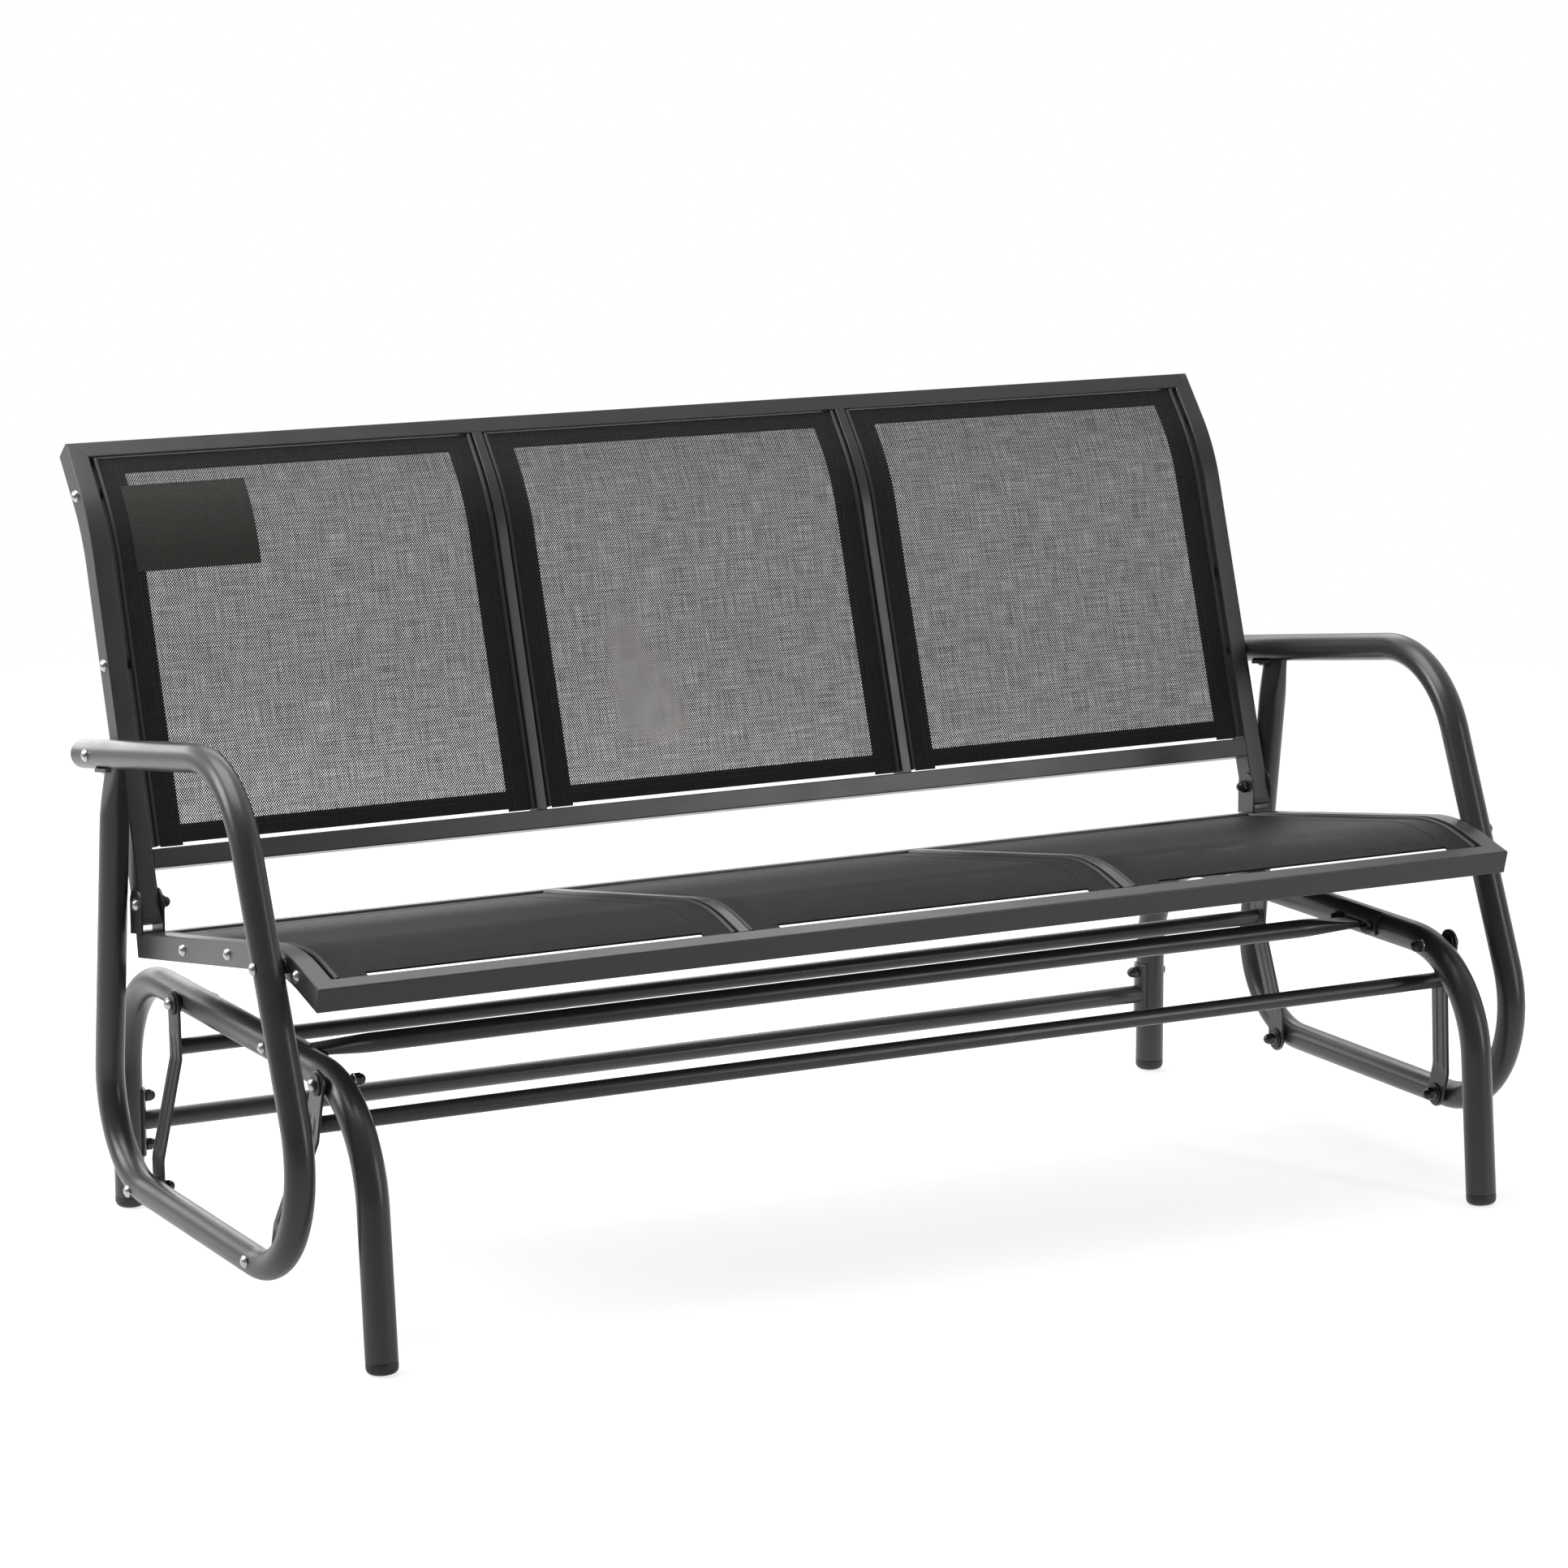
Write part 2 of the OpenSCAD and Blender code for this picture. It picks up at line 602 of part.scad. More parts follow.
// Upper pivots: bolt, bush and washers are held by the base, and the link turns on the bush's barrel
hub_out = top_link_out + run_gap + flange_t + hub_h;
module at_tops() { both_sides() for (p = [front_top, rear_top]) at(p) children(); }
module upper_pivot_bolts() {
    color(zinc) at_tops() bolt(base_in - thin_washer_t - nut_grip, hub_out, bolt_d);
}
module upper_pivot_washers() {
    color(black) at_tops() ring_x(base_out, top_link_in - run_gap, washer_d / 2, bolt_d / 2 + plug_play);
}
module upper_pivot_bushes() {
    color(black) at_tops() difference() {
        union() {
            rod_x(top_link_in - run_gap, hub_out, barrel_d / 2);
            rod_x(top_link_out + run_gap, top_link_out + run_gap + flange_t, washer_d / 2);
            rod_x(top_link_out + run_gap, hub_out, hub_d / 2);
        }
        rod_x(top_link_in - base_d, hub_out + over, bolt_d / 2 + plug_play);
    }
}
module upper_pivot_inner_washers() {
    color(zinc) at_tops() ring_x(base_in - thin_washer_t, base_in, hub_d / 2, bolt_d / 2 + plug_play);
}
module upper_pivot_cap_nuts() { color(black) at_tops() cap_nut(base_in - thin_washer_t); }

// Links: a strip with a joggle and two pressed ribs, drawn hanging from its upper pivot
joggle_to = link_len - joggle_end;
joggle_angle = atan(joggle / (joggle_to - joggle_start));
bend_shift = link_t * tan(joggle_angle / 2);
module link_profile() {
    top = link_w;
    low = -link_len - link_w;
    polygon([
        [top_link_in, top], [top_link_in, -joggle_start],
        [low_link_in, -joggle_to], [low_link_in, low], [low_link_out, low],
        [low_link_out, bend_shift - joggle_to],
        [top_link_out, bend_shift - joggle_start], [top_link_out, top]
    ]);
}
function link_x(s) = top_link_in + joggle * min(max((s - joggle_start) / (joggle_to - joggle_start), 0), 1);
module rib(y, x0, x1) {
    stops = [rib_inset, joggle_start, link_len - rib_inset];
    inner = [for (s = stops) [link_x(s) + x0, -s]];
    outer = [for (i = [2:-1:0]) [link_x(stops[i]) + x1, -stops[i]]];
    straight = link_len - 2 * rib_inset - 2 * rib_r;
    intersection() {
        translate([0, y, 0]) rotate([90, 0, 0]) linear_extrude(2 * rib_r, center = true)
            polygon(concat(inner, outer));
        across(top_link_in - link_w, low_link_out + link_w) {
            translate([y, -rib_inset - rib_r]) circle(rib_r, $fn = 32);
            translate([y - rib_r, rib_inset + rib_r - link_len]) square([2 * rib_r, straight]);
            translate([y, rib_inset + rib_r - link_len]) circle(rib_r, $fn = 32);
        }
    }
}
module link() {
    difference() {
        union() {
            intersection() {
                across(top_link_in - over, low_link_out + over) {
                    circle(link_w / 2);
                    translate([-link_w / 2, -link_len]) square([link_w, link_len]);
                    translate([0, -link_len]) circle(link_w / 2);
                }
                rotate([90, 0, 0]) linear_extrude(2 * link_w, center = true) link_profile();
            }
            for (side = [-1, 1]) rib(side * rib_pitch / 2, -rib_h, link_t / 3);
        }
        for (side = [-1, 1]) rib(side * rib_pitch / 2, link_t - rib_h, link_t + over);
        at([0, -link_bar_at]) rod_x(top_link_in - 2 * link_t, top_link_in, link_bar_d / 2 + plug_play);
        rod_x(top_link_in - link_w, low_link_out + link_w, barrel_d / 2 + pivot_play);
        at([0, -link_len]) rod_x(top_link_in - link_w, low_link_out + link_w, barrel_d / 2 + pivot_play);
    }
}
module link_bar() {
    at([0, -link_bar_at]) ring_x(-top_link_in, top_link_in, link_bar_d / 2, link_bar_d / 2 - bar_wall);
}
module hang_front() { at(front_top) rotate([front_lean, 0, 0]) children(); }
module hang_rear() { at(rear_top) rotate([-rear_lean, 0, 0]) children(); }
module front_link_left() { color(steel) hang_front() mirror([1, 0, 0]) link(); }
module front_link_right() { color(steel) hang_front() link(); }
module front_link_crossbar() { color(steel) hang_front() link_bar(); }
module rear_link_left() { color(steel) hang_rear() mirror([1, 0, 0]) link(); }
module rear_link_right() { color(steel) hang_rear() link(); }
module rear_link_crossbar() { color(steel) hang_rear() link_bar(); }

// Arm loops: one bent tube each, crimped where the upright meets the armrest from below
upright_aim = heading(arm_line[3], arm_line[4]);
arm_aim = heading(arm_line[1], arm_line[0]);
joint_at = [upright_top_y, upright_top_h];
flange_w = 22;
flange_len = 45;
flange_sheet = 2.5;
flange_bite = 0.5;
joint_screw_at = 34;
crimp_foot = -crimp_len - arm_d / 2;
crimp_step = 0.04;
arm_tube_line = [for (i = [0:3]) arm_line[i], joint_at + crimp_foot * ray(upright_aim)];
module arm_loop() {
    translate([arm_x, 0, 0]) difference() {
        union() {
            side_plane() bent_tube(arm_tube_line, arm_bends, arm_d / 2, arm_wall);
            side_plane() difference() {
                crimp();
                armrest_core(arm_d / 2 - arm_wall / 2);
            }
            arm_flange();
        }
        for (p = [front_low, rear_low, leg_bolt, rest_bolt])
            at(p) rod_x(-arm_d, arm_d, bolt_d / 2 + hole_play);
        at(joint_at) rotate([arm_aim, 0, 0]) translate([0, joint_screw_at, -arm_d])
            cylinder(h = arm_d, r = screw_d / 2 + hole_play);
    }
}
// The crimp begins where the round tube stops, and runs up into the armrest's underside
module armrest_core(r) {
    translate([arm_line[0][0], arm_line[0][1], 0]) rotate([0, 90, heading(arm_line[0], arm_line[1])])
        cylinder(h = arm_rear_y - arm_front_y, r = r, $fn = tube_fn);
}
module crimp() {
    half = (PI * arm_d - 2 * crimp_t) / 4;
    translate([joint_at[0], joint_at[1], 0]) rotate([0, 90, upright_aim]) hull() {
        translate([0, 0, crimp_foot - over / 2]) cylinder(h = over, r = arm_d / 2 - crimp_step, $fn = 32);
        translate([-crimp_t / 2, -half, -arm_d / 2]) cube([crimp_t, 2 * half, arm_d / 4]);
    }
}
module arm_flange() {
    at(joint_at) rotate([arm_aim, 0, 0])
        translate([-flange_w / 2, 0, -arm_d / 2 - flange_sheet])
            cube([flange_w, flange_len, flange_sheet + flange_bite]);
}
module arm_loop_left() { color(steel) mirror([1, 0, 0]) arm_loop(); }
module arm_loop_right() { color(steel) arm_loop(); }
cap_round = 12;
module arm_end_caps() {
    r = arm_d / 2;
    color(steel) both_sides() translate([arm_x, 0, 0]) at(arm_line[0]) rotate([arm_aim - 90, 0, 0]) {
        rotate_extrude($fn = 64) intersection() {
            union() {
                square([r - cap_round, cap_round]);
                translate([r - cap_round, 0]) circle(cap_round, $fn = 64);
            }
            square([r, cap_round]);
        }
        translate([0, 0, -spigot_len]) cylinder(h = spigot_len, r = r - arm_wall - plug_play);
    }
}
module arm_joint_screws() {
    color(zinc) both_sides() translate([arm_x, 0, 0]) at(joint_at) rotate([arm_aim, 0, 0])
        translate([0, joint_screw_at, -arm_d / 2 - flange_sheet]) {
            cylinder(h = joint_screw_len, r = screw_d / 2);
            rotate([0, 90, 0]) pan_head(0);
        }
}
module arm_bolts() {
    color(zinc) both_sides() {
        at(leg_bolt) bolt(bar_hole_end, arm_out, bolt_d);
        at(rest_bolt) bolt(bar_hole_end, arm_out, bolt_d);
    }
}
module arm_bolt_spacers() {
    color(black) both_sides() for (p = [leg_bolt, rest_bolt])
        at(p) ring_x(frame_x, arm_in, bolt_d, bolt_d / 2 + plug_play);
}

// Lower pivots: bolt and washers are held by the arm loop. The rear bush has no barrel: these are the
// open pivots of the four bar linkage, and the link's hole leaves room round the bolt.
low_flange_in = low_link_in - run_gap - flange_t;
module at_lows() { both_sides() for (p = [front_low, rear_low]) at(p) children(); }
module lower_pivot_bolts() {
    color(zinc) at_lows() bolt(low_flange_in - thin_washer_t - nut_grip, arm_out, bolt_d);
}
module lower_pivot_spacers() {
    color(black) at_lows() ring_x(low_link_out + run_gap, arm_in, washer_d / 2, bolt_d / 2 + plug_play);
}
module lower_pivot_bushes() {
    color(black) both_sides() {
        at(rear_low) ring_x(low_flange_in, low_link_in - run_gap, washer_d / 2, bolt_d / 2 + plug_play);
        at(front_low) difference() {
            union() {
                rod_x(low_flange_in, low_link_in - run_gap, washer_d / 2);
                rod_x(low_flange_in, low_link_out + run_gap, barrel_d / 2);
            }
            rod_x(low_flange_in - over, low_link_out + 2 * over, bolt_d / 2 + plug_play);
        }
    }
}
module lower_pivot_inner_washers() {
    color(zinc) at_lows()
        ring_x(low_flange_in - thin_washer_t, low_flange_in, hub_d / 2, bolt_d / 2 + plug_play);
}
module lower_pivot_cap_nuts() { color(black) at_lows() cap_nut(low_flange_in - thin_washer_t); }

// Frames: side rails follow the path, the end rail is mitred to them at the far end
module rail_side(p, depth, end_w, screws, bolts) {
    difference() {
        across(rail_in, frame_x) band(p, 0, depth, 0, 0);
        across(rail_in + rail_wall, frame_x - rail_wall) band(p, rail_wall, depth - rail_wall, -over, -over);
        far_leg(p) translate([0, path_second(p), -over]) linear_extrude(depth + 2 * over)
            polygon([[rail_in - over, -end_w * (1 + over / rail_w)], [frame_x + over, end_w * over / rail_w],
                [rail_in - over, end_w * over / rail_w]]);
        for (s = screws) at(path_point(p, s, depth / 2))
            rod_x(rail_in - over, frame_x + over, screw_d / 2 + hole_play);
        for (q = bolts) at(q) rod_x(rail_in - over, frame_x + over, bolt_d / 2 + hole_play);
    }
}
module rail_end(p, depth, end_w) {
    far_leg(p) translate([0, path_second(p), 0]) difference() {
        linear_extrude(depth) polygon([[-frame_x, 0], [frame_x, 0], [rail_in, -end_w], [-rail_in, -end_w]]);
        translate([-frame_x, rail_wall - end_w, rail_wall])
            cube([2 * frame_x, end_w - 2 * rail_wall, depth - 2 * rail_wall]);
    }
}
// A rail across the near leg of a path, butted between the side rails
module rail_cross(p, depth, from, width) {
    difference() {
        near_bar(p, rail_in, depth, from, width, 0);
        near_bar(p, rail_in + over, depth, from, width, rail_wall);
    }
}
module near_bar(p, reach, depth, from, width, inset) {
    across(-reach, reach) translate(p[0]) rotate(heading(p[0], p[1])) depth_side(p)
        translate([from + inset, inset]) square([width - 2 * inset, depth - 2 * inset]);
}
module dividers(p, from, trim, studs) {
    both_sides() difference() {
        across(divider_start, divider_end) band(p, 0, divider_depth, from, trim);
        across(divider_start + rail_wall, divider_end - rail_wall)
            band(p, rail_wall, divider_depth - rail_wall, from - over, trim - over);
        for (s = studs) at(path_point(p, s, stud_depth))
            rod_x(0, divider_end + over, screw_d / 2 + hole_play);
    }
}
stud_depth = sling_bar_depth - screw_d;
bar_out = rail_in - bar_gap;
bar_in = bar_out - sling_bar_w;
bar_hole_end = bar_out - bar_hole;
bar_face = 0.5;
outer_bar = divider_end + divider_gap;
inner_bar = divider_start - divider_gap - sling_bar_w;

// A sling bar is a channel that grips the sling's edge in a slot; slot_side is the side of the slot
module sling_bar(p, x0, from, trim, slot_side) {
    slot_x = slot_side > 0 ? x0 + sling_bar_w - slot_depth : x0 - over;
    difference() {
        across(x0, x0 + sling_bar_w) band(p, bar_face, bar_face + sling_bar_depth, from, trim);
        across(slot_x, slot_x + slot_depth + over)
            band(p, sling_set - slot_play, sling_set + cloth_t + slot_play, from - over, trim - over);
    }
}
module sling_bars(p, from, trim, depth, screws, bolts, studs) {
    both_sides() difference() {
        union() {
            sling_bar(p, bar_in, from, trim, -1);
            sling_bar(p, outer_bar, from, trim, 1);
            sling_bar(p, inner_bar, from, trim, -1);
        }
        for (s = screws) at(path_point(p, s, depth / 2))
            rod_x(bar_hole_end, bar_out + over, screw_d / 2 + plug_play);
        for (q = bolts) at(q) rod_x(bar_hole_end, bar_out + over, bolt_d / 2 + plug_play);
        for (s = studs) at(path_point(p, s, stud_depth))
            rod_x(inner_bar + sling_bar_w - bar_hole, outer_bar + bar_hole, screw_d / 2 + plug_play);
    }
}

// A sling: the sheet runs into the bars' slots, with folded hems along all four edges
// that are a little narrower than the sheet and start inside it
module sling(p, x0, x1, from, trim) {
    edge = slot_depth - sling_play;
    hem_from = x0 + sling_play;
    hem_to = x1 - sling_play;
    core = sling_set + cloth_t / 2;
    rear = sling_set + cloth_t + hem_t;
    low = from + hem_inset;
    high = path_len(p) - trim - hem_inset;
    across(x0 - edge, x1 + edge) band(p, sling_set, sling_set + cloth_t, from, trim);
    across(hem_from, hem_from + hem_w) strip(p, core, rear, low, high);
    across(hem_to - hem_w, hem_to) strip(p, core, rear, low, high);
    across(hem_from + hem_w - over, hem_to - hem_w + over) {
        strip(p, core, rear - hem_inset, low + hem_inset, low + end_hem_w);
        strip(p, core, rear - hem_inset, high - end_hem_w, high - hem_inset);
    }
}
hem_inset = 0.3;
seat_trim = path_len(seat_path) - seat_sling_to;
back_trim = path_len(back_path) - back_sling_to;
module outer_seat_sling() { sling(seat_path, outer_bar + sling_bar_w, bar_in, seat_sling_from, seat_trim); }
module outer_back_sling() { sling(back_path, outer_bar + sling_bar_w, bar_in, back_sling_from, back_trim); }

module seat_front_rail() { color(steel) rail_end(seat_path, seat_rail_depth, seat_front_rail_w); }
module seat_rear_rail() { color(steel) rail_cross(seat_path, seat_rail_depth, 0, rail_w); }
module seat_side() { rail_side(seat_path, seat_rail_depth, seat_front_rail_w, seat_screws, [leg_bolt]); }
module seat_side_rail_left() { color(steel) mirror([1, 0, 0]) seat_side(); }
module seat_side_rail_right() { color(steel) seat_side(); }
module seat_dividers() { color(steel) dividers(seat_path, rail_w, seat_front_rail_w, seat_screws); }
module seat_sling_bars() {
    color(steel) sling_bars(seat_path, rail_w + bar_end_gap, seat_front_rail_w + bar_end_gap, seat_rail_depth,
        seat_screws, [leg_bolt], seat_screws);
}
bar_end_gap = 3;
module seat_sling_left() { color(cloth) mirror([1, 0, 0]) outer_seat_sling(); }
module seat_sling_right() { color(cloth) outer_seat_sling(); }
module seat_sling_centre() {
    color(cloth) sling(seat_path, -inner_bar, inner_bar, seat_sling_from, seat_trim);
}

module back_top_rail() { color(steel) rail_end(back_path, back_rail_depth, back_top_rail_w); }
module back_bottom_rail() {
    color(steel) rail_cross(back_path, back_rail_depth, back_bottom_rail_at, back_bottom_rail_w);
}
module back_side() {
    rail_side(back_path, back_rail_depth, back_top_rail_w, back_screws, [rest_bolt, bracket_bolt]);
}
module back_side_rail_left() { color(steel) mirror([1, 0, 0]) back_side(); }
module back_side_rail_right() { color(steel) back_side(); }
bottom_rail_end = back_bottom_rail_at + back_bottom_rail_w;
module back_dividers() { color(steel) dividers(back_path, bottom_rail_end, back_top_rail_w, back_studs); }
back_studs = [bottom_rail_end + low_stud_up, back_screws[0], back_screws[1]];
module back_sling_bars() {
    color(steel) sling_bars(back_path, bottom_rail_end + bar_end_gap, back_top_rail_w + back_sling_top_gap,
        back_rail_depth, back_screws, [rest_bolt], back_studs);
}
module back_sling_left() { color(cloth) mirror([1, 0, 0]) outer_back_sling(); }
module back_sling_right() { color(cloth) outer_back_sling(); }
module back_sling_centre() {
    color(cloth) sling(back_path, -inner_bar, inner_bar, back_sling_from, back_trim);
}

// The bare patch lies on the face of the left hand back sling, below its upper hem
module back_patch() {
    high = back_sling_to - end_hem_w - patch_drop;
    color(black) mirror([1, 0, 0]) across(bar_in - patch_side - patch_w, bar_in - patch_side)
        strip(back_path, sling_set - patch_t, sling_set, high - patch_h, high);
}

// Brackets: a folded sheet on each rear corner of the seat holds the back rail between two ears
bracket_r = bracket_w / 2;
bracket_play = 0.2;
ear_in = rail_in - bracket_play - bracket_t;
ear_out = frame_x + bracket_play + bracket_t;
module bracket() {
    base_s = (seat_rear_y - bracket_bolt[0]) / cos(seat_rise);
    foot = path_point(seat_path, base_s, -bracket_t);
    module ear() {
        translate(bracket_bolt) circle(bracket_r, $fn = 48);
        polygon([bracket_bolt + bracket_r * ray(180), bracket_bolt + bracket_r * ray(0),
            path_point(seat_path, base_s - bracket_r, 0), path_point(seat_path, base_s + bracket_r, 0)]);
    }
    difference() {
        union() {
            across(ear_in, ear_in + bracket_t) ear();
            across(ear_out - bracket_t, ear_out) ear();
            across(ear_in, ear_out) translate(foot) rotate(180 - seat_rise)
                translate([-bracket_r, 0]) square([2 * bracket_r, bracket_t]);
        }
        at(bracket_bolt) rod_x(ear_in - over, ear_out + over, bolt_d / 2 + hole_play);
    }
}
module back_bracket_left() { color(steel) mirror([1, 0, 0]) bracket(); }
module back_bracket_right() { color(steel) bracket(); }
module bracket_bolts() { color(zinc) both_sides() at(bracket_bolt) bolt(ear_in - nut_grip, ear_out, bolt_d); }
module bracket_cap_nuts() { color(black) both_sides() at(bracket_bolt) cap_nut(ear_in); }

plug_len = 6;
plug_depth = 3;
module rail_end_plugs() {
    color(black) both_sides() {
        across(rail_in, frame_x) translate(back_foot) rotate(90 - back_lean) mirror([0, 1])
            translate([-plug_len, 0]) square([plug_len, back_rail_depth]);
        across(rail_in + rail_wall + plug_play, frame_x - rail_wall - plug_play)
            translate(back_foot) rotate(90 - back_lean) mirror([0, 1])
                translate([0, rail_wall + plug_play])
                    square([plug_depth, back_rail_depth - 2 * rail_wall - 2 * plug_play]);
    }
}
module rail_screws() {
    color(zinc) both_sides() {
        for (s = seat_screws) at(path_point(seat_path, s, seat_mid)) bolt(bar_hole_end, frame_x, screw_d);
        for (s = back_screws) at(path_point(back_path, s, back_mid)) bolt(bar_hole_end, frame_x, screw_d);
    }
}
module bar_spacer() { ring_x(bar_out, rail_in, screw_d, screw_d / 2 + plug_play); }
module sling_bar_spacers() {
    color(black) both_sides() {
        for (s = seat_screws) at(path_point(seat_path, s, seat_mid)) bar_spacer();
        for (s = back_screws) at(path_point(back_path, s, back_mid)) bar_spacer();
    }
}
module divider_studs() {
    color(zinc) both_sides() {
        for (s = seat_screws) at(path_point(seat_path, s, stud_depth))
            rod_x(inner_bar + sling_bar_w - bar_hole, outer_bar + bar_hole, screw_d / 2);
        for (s = back_studs) at(path_point(back_path, s, stud_depth))
            rod_x(inner_bar + sling_bar_w - bar_hole, outer_bar + bar_hole, screw_d / 2);
    }
}

base_side_left();
base_side_right();
foot_plugs();
base_front_crossbar();
base_rear_crossbar();
front_saddle_plates();
rear_saddle_plates();
base_bolts();
base_cap_nuts();
upper_pivot_bolts();
upper_pivot_washers();
upper_pivot_bushes();
upper_pivot_inner_washers();
upper_pivot_cap_nuts();
front_link_left();
front_link_right();
front_link_crossbar();
rear_link_left();
rear_link_right();
rear_link_crossbar();
arm_loop_left();
arm_loop_right();
arm_end_caps();
arm_joint_screws();
lower_pivot_bolts();
lower_pivot_spacers();
lower_pivot_bushes();
lower_pivot_inner_washers();
lower_pivot_cap_nuts();
arm_bolts();
arm_bolt_spacers();
seat_front_rail();
seat_rear_rail();
seat_side_rail_left();
seat_side_rail_right();
seat_dividers();
seat_sling_bars();
seat_sling_left();
seat_sling_centre();
seat_sling_right();
back_top_rail();
back_bottom_rail();
back_side_rail_left();
back_side_rail_right();
back_dividers();
back_sling_bars();
back_sling_left();
back_sling_centre();
back_sling_right();
back_patch();
back_bracket_left();
back_bracket_right();
bracket_bolts();
bracket_cap_nuts();
rail_end_plugs();
rail_screws();
sling_bar_spacers();
divider_studs();
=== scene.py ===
# %% [markdown]
# # A rocking garden bench
# The bench hangs from four flat links in a standing tube base. The imported model gives every
# piece its place, so this lesson loads it first, and then dresses it piece
# by piece: bent tubes, mitred rails, sling bars, stretched mesh, links and fasteners.

# %% Load the frame
import json
import math

import bmesh
import bpy
from mathutils import Matrix, Vector


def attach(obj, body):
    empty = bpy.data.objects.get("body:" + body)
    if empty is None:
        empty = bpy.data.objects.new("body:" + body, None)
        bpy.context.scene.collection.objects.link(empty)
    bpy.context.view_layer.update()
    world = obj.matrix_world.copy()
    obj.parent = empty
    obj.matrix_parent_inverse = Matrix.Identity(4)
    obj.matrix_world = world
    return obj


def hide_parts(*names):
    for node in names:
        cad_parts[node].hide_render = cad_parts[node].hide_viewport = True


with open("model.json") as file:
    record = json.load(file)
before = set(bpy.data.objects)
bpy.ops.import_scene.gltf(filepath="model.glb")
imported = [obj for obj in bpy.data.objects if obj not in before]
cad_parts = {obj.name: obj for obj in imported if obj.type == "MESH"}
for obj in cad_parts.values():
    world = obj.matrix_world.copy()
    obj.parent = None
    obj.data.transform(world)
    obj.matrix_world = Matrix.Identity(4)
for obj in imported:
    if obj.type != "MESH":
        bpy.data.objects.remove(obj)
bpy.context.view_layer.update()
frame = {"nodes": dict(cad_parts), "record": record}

MM = 0.001

# %% [markdown]
# ## Camera, floor and light
# The photo was taken from the left front, a little above the seat, with a long lens. The floor
# glows a little, as a lit studio table does, and fades into the white world far behind the bench,
# so no horizon shows. The camera sees it all white, but for the light that falls on the bench, the
# world and the floor are bright behind it and dim on the camera's side: round tubes then get a
# dark middle with pale rims, as in the photo. Soft lamps do the rest, at a level where a colour
# renders about as written.


# %% Camera
def placed(name, data):
    """An object at the origin that shows a camera, a lamp or a mesh."""
    made = bpy.data.objects.new(name, data)
    bpy.context.scene.collection.objects.link(made)
    return made


lens = bpy.data.cameras.new("photo_camera")
camera = placed("photo_camera", lens)
camera.location = (-2.6613, -5.0154, 1.5875)
TILT_DOWN, TURN_RIGHT = 0.1900, 0.4894
camera.rotation_euler = (math.pi / 2 - TILT_DOWN, 0, -TURN_RIGHT)
lens.lens = 119.5
lens.sensor_width = 36
lens.shift_x = -0.0166
lens.shift_y = -0.0078
lens.clip_end = 200
bpy.context.scene.camera = camera
bpy.context.scene.view_settings.view_transform = "Standard"
print("camera with a lens of %.1f mm at" % lens.lens, camera.location[:])


# %% World and floor
def node_tree(material):
    """The empty node tree of a material or a world."""
    material.use_nodes = True
    tree = material.node_tree
    tree.nodes.clear()
    return tree


def add(tree, kind, **values):
    """One node, with its settings by name and its sockets, set or linked, by name or number."""
    node = tree.nodes.new(kind)
    sockets = values.pop("sockets", {})
    for key, value in values.items():
        setattr(node, key, value)
    for key, value in sockets.items():
        if isinstance(value, bpy.types.NodeSocket):
            tree.links.new(value, node.inputs[key])
        else:
            node.inputs[key].default_value = value
    return node


def calc(tree, operation, *values):
    """The output of a math node on numbers or sockets."""
    node = add(tree, "ShaderNodeMath", operation=operation, sockets=dict(enumerate(values)))
    return node.outputs[0]


def mapped(tree, value, start, stop, low=0.0, high=1.0, ease="LINEAR"):
    """A value from start to stop, turned into one from low to high."""
    return add(tree, "ShaderNodeMapRange", interpolation_type=ease, sockets={
        "Value": value, "From Min": start, "From Max": stop,
        "To Min": low, "To Max": high}).outputs[0]


def blend(tree, share, first, second):
    """A colour between two others."""
    return add(tree, "ShaderNodeMix", data_type="RGBA",
               sockets={0: share, 6: first, 7: second}).outputs[2]


BEHIND = (0.30, 0.75, 0.35)
FLOOR_BEHIND = (0.37, 0.93, 0.0)
FLOOR_GLOW = 0.74
world = bpy.data.worlds.new("studio")
bpy.context.scene.world = world
tree = node_tree(world)
seen = add(tree, "ShaderNodeLightPath").outputs
direct = calc(tree, "MAXIMUM", seen["Is Camera Ray"], seen["Is Transmission Ray"])
way = add(tree, "ShaderNodeTexCoord").outputs["Generated"]
behind = add(tree, "ShaderNodeVectorMath", operation="DOT_PRODUCT", sockets={0: way, 1: BEHIND})
level = mapped(tree, behind.outputs["Value"], -0.35, 0.75, 0.16, 1.0, "SMOOTHSTEP")
soft = add(tree, "ShaderNodeBackground", sockets={"Color": (1, 1, 1, 1), "Strength": level})
white = add(tree, "ShaderNodeBackground", sockets={"Color": (1, 1, 1, 1), "Strength": 1.0})
both = add(tree, "ShaderNodeMixShader",
           sockets={0: direct, 1: soft.outputs[0], 2: white.outputs[0]})
add(tree, "ShaderNodeOutputWorld", sockets={"Surface": both.outputs[0]})

floor_paint = bpy.data.materials.new("floor_paint")
tree = node_tree(floor_paint)
place = add(tree, "ShaderNodeTexCoord").outputs["Object"]
away = add(tree, "ShaderNodeVectorMath", operation="LENGTH", sockets={0: place})
fade = mapped(tree, away.outputs["Value"], 1.4, 4.0, ease="SMOOTHSTEP")
pale = add(tree, "ShaderNodeBsdfDiffuse", sockets={"Color": (0.42, 0.42, 0.42, 1)})
seen = add(tree, "ShaderNodeLightPath").outputs
depth = add(tree, "ShaderNodeVectorMath", operation="DOT_PRODUCT",
            sockets={0: place, 1: FLOOR_BEHIND})
graded = mapped(tree, depth.outputs["Value"], -1.1, 0.5, 0.12, FLOOR_GLOW, "SMOOTHSTEP")
power = calc(tree, "MAXIMUM", graded, calc(tree, "MULTIPLY", seen["Is Camera Ray"], FLOOR_GLOW))
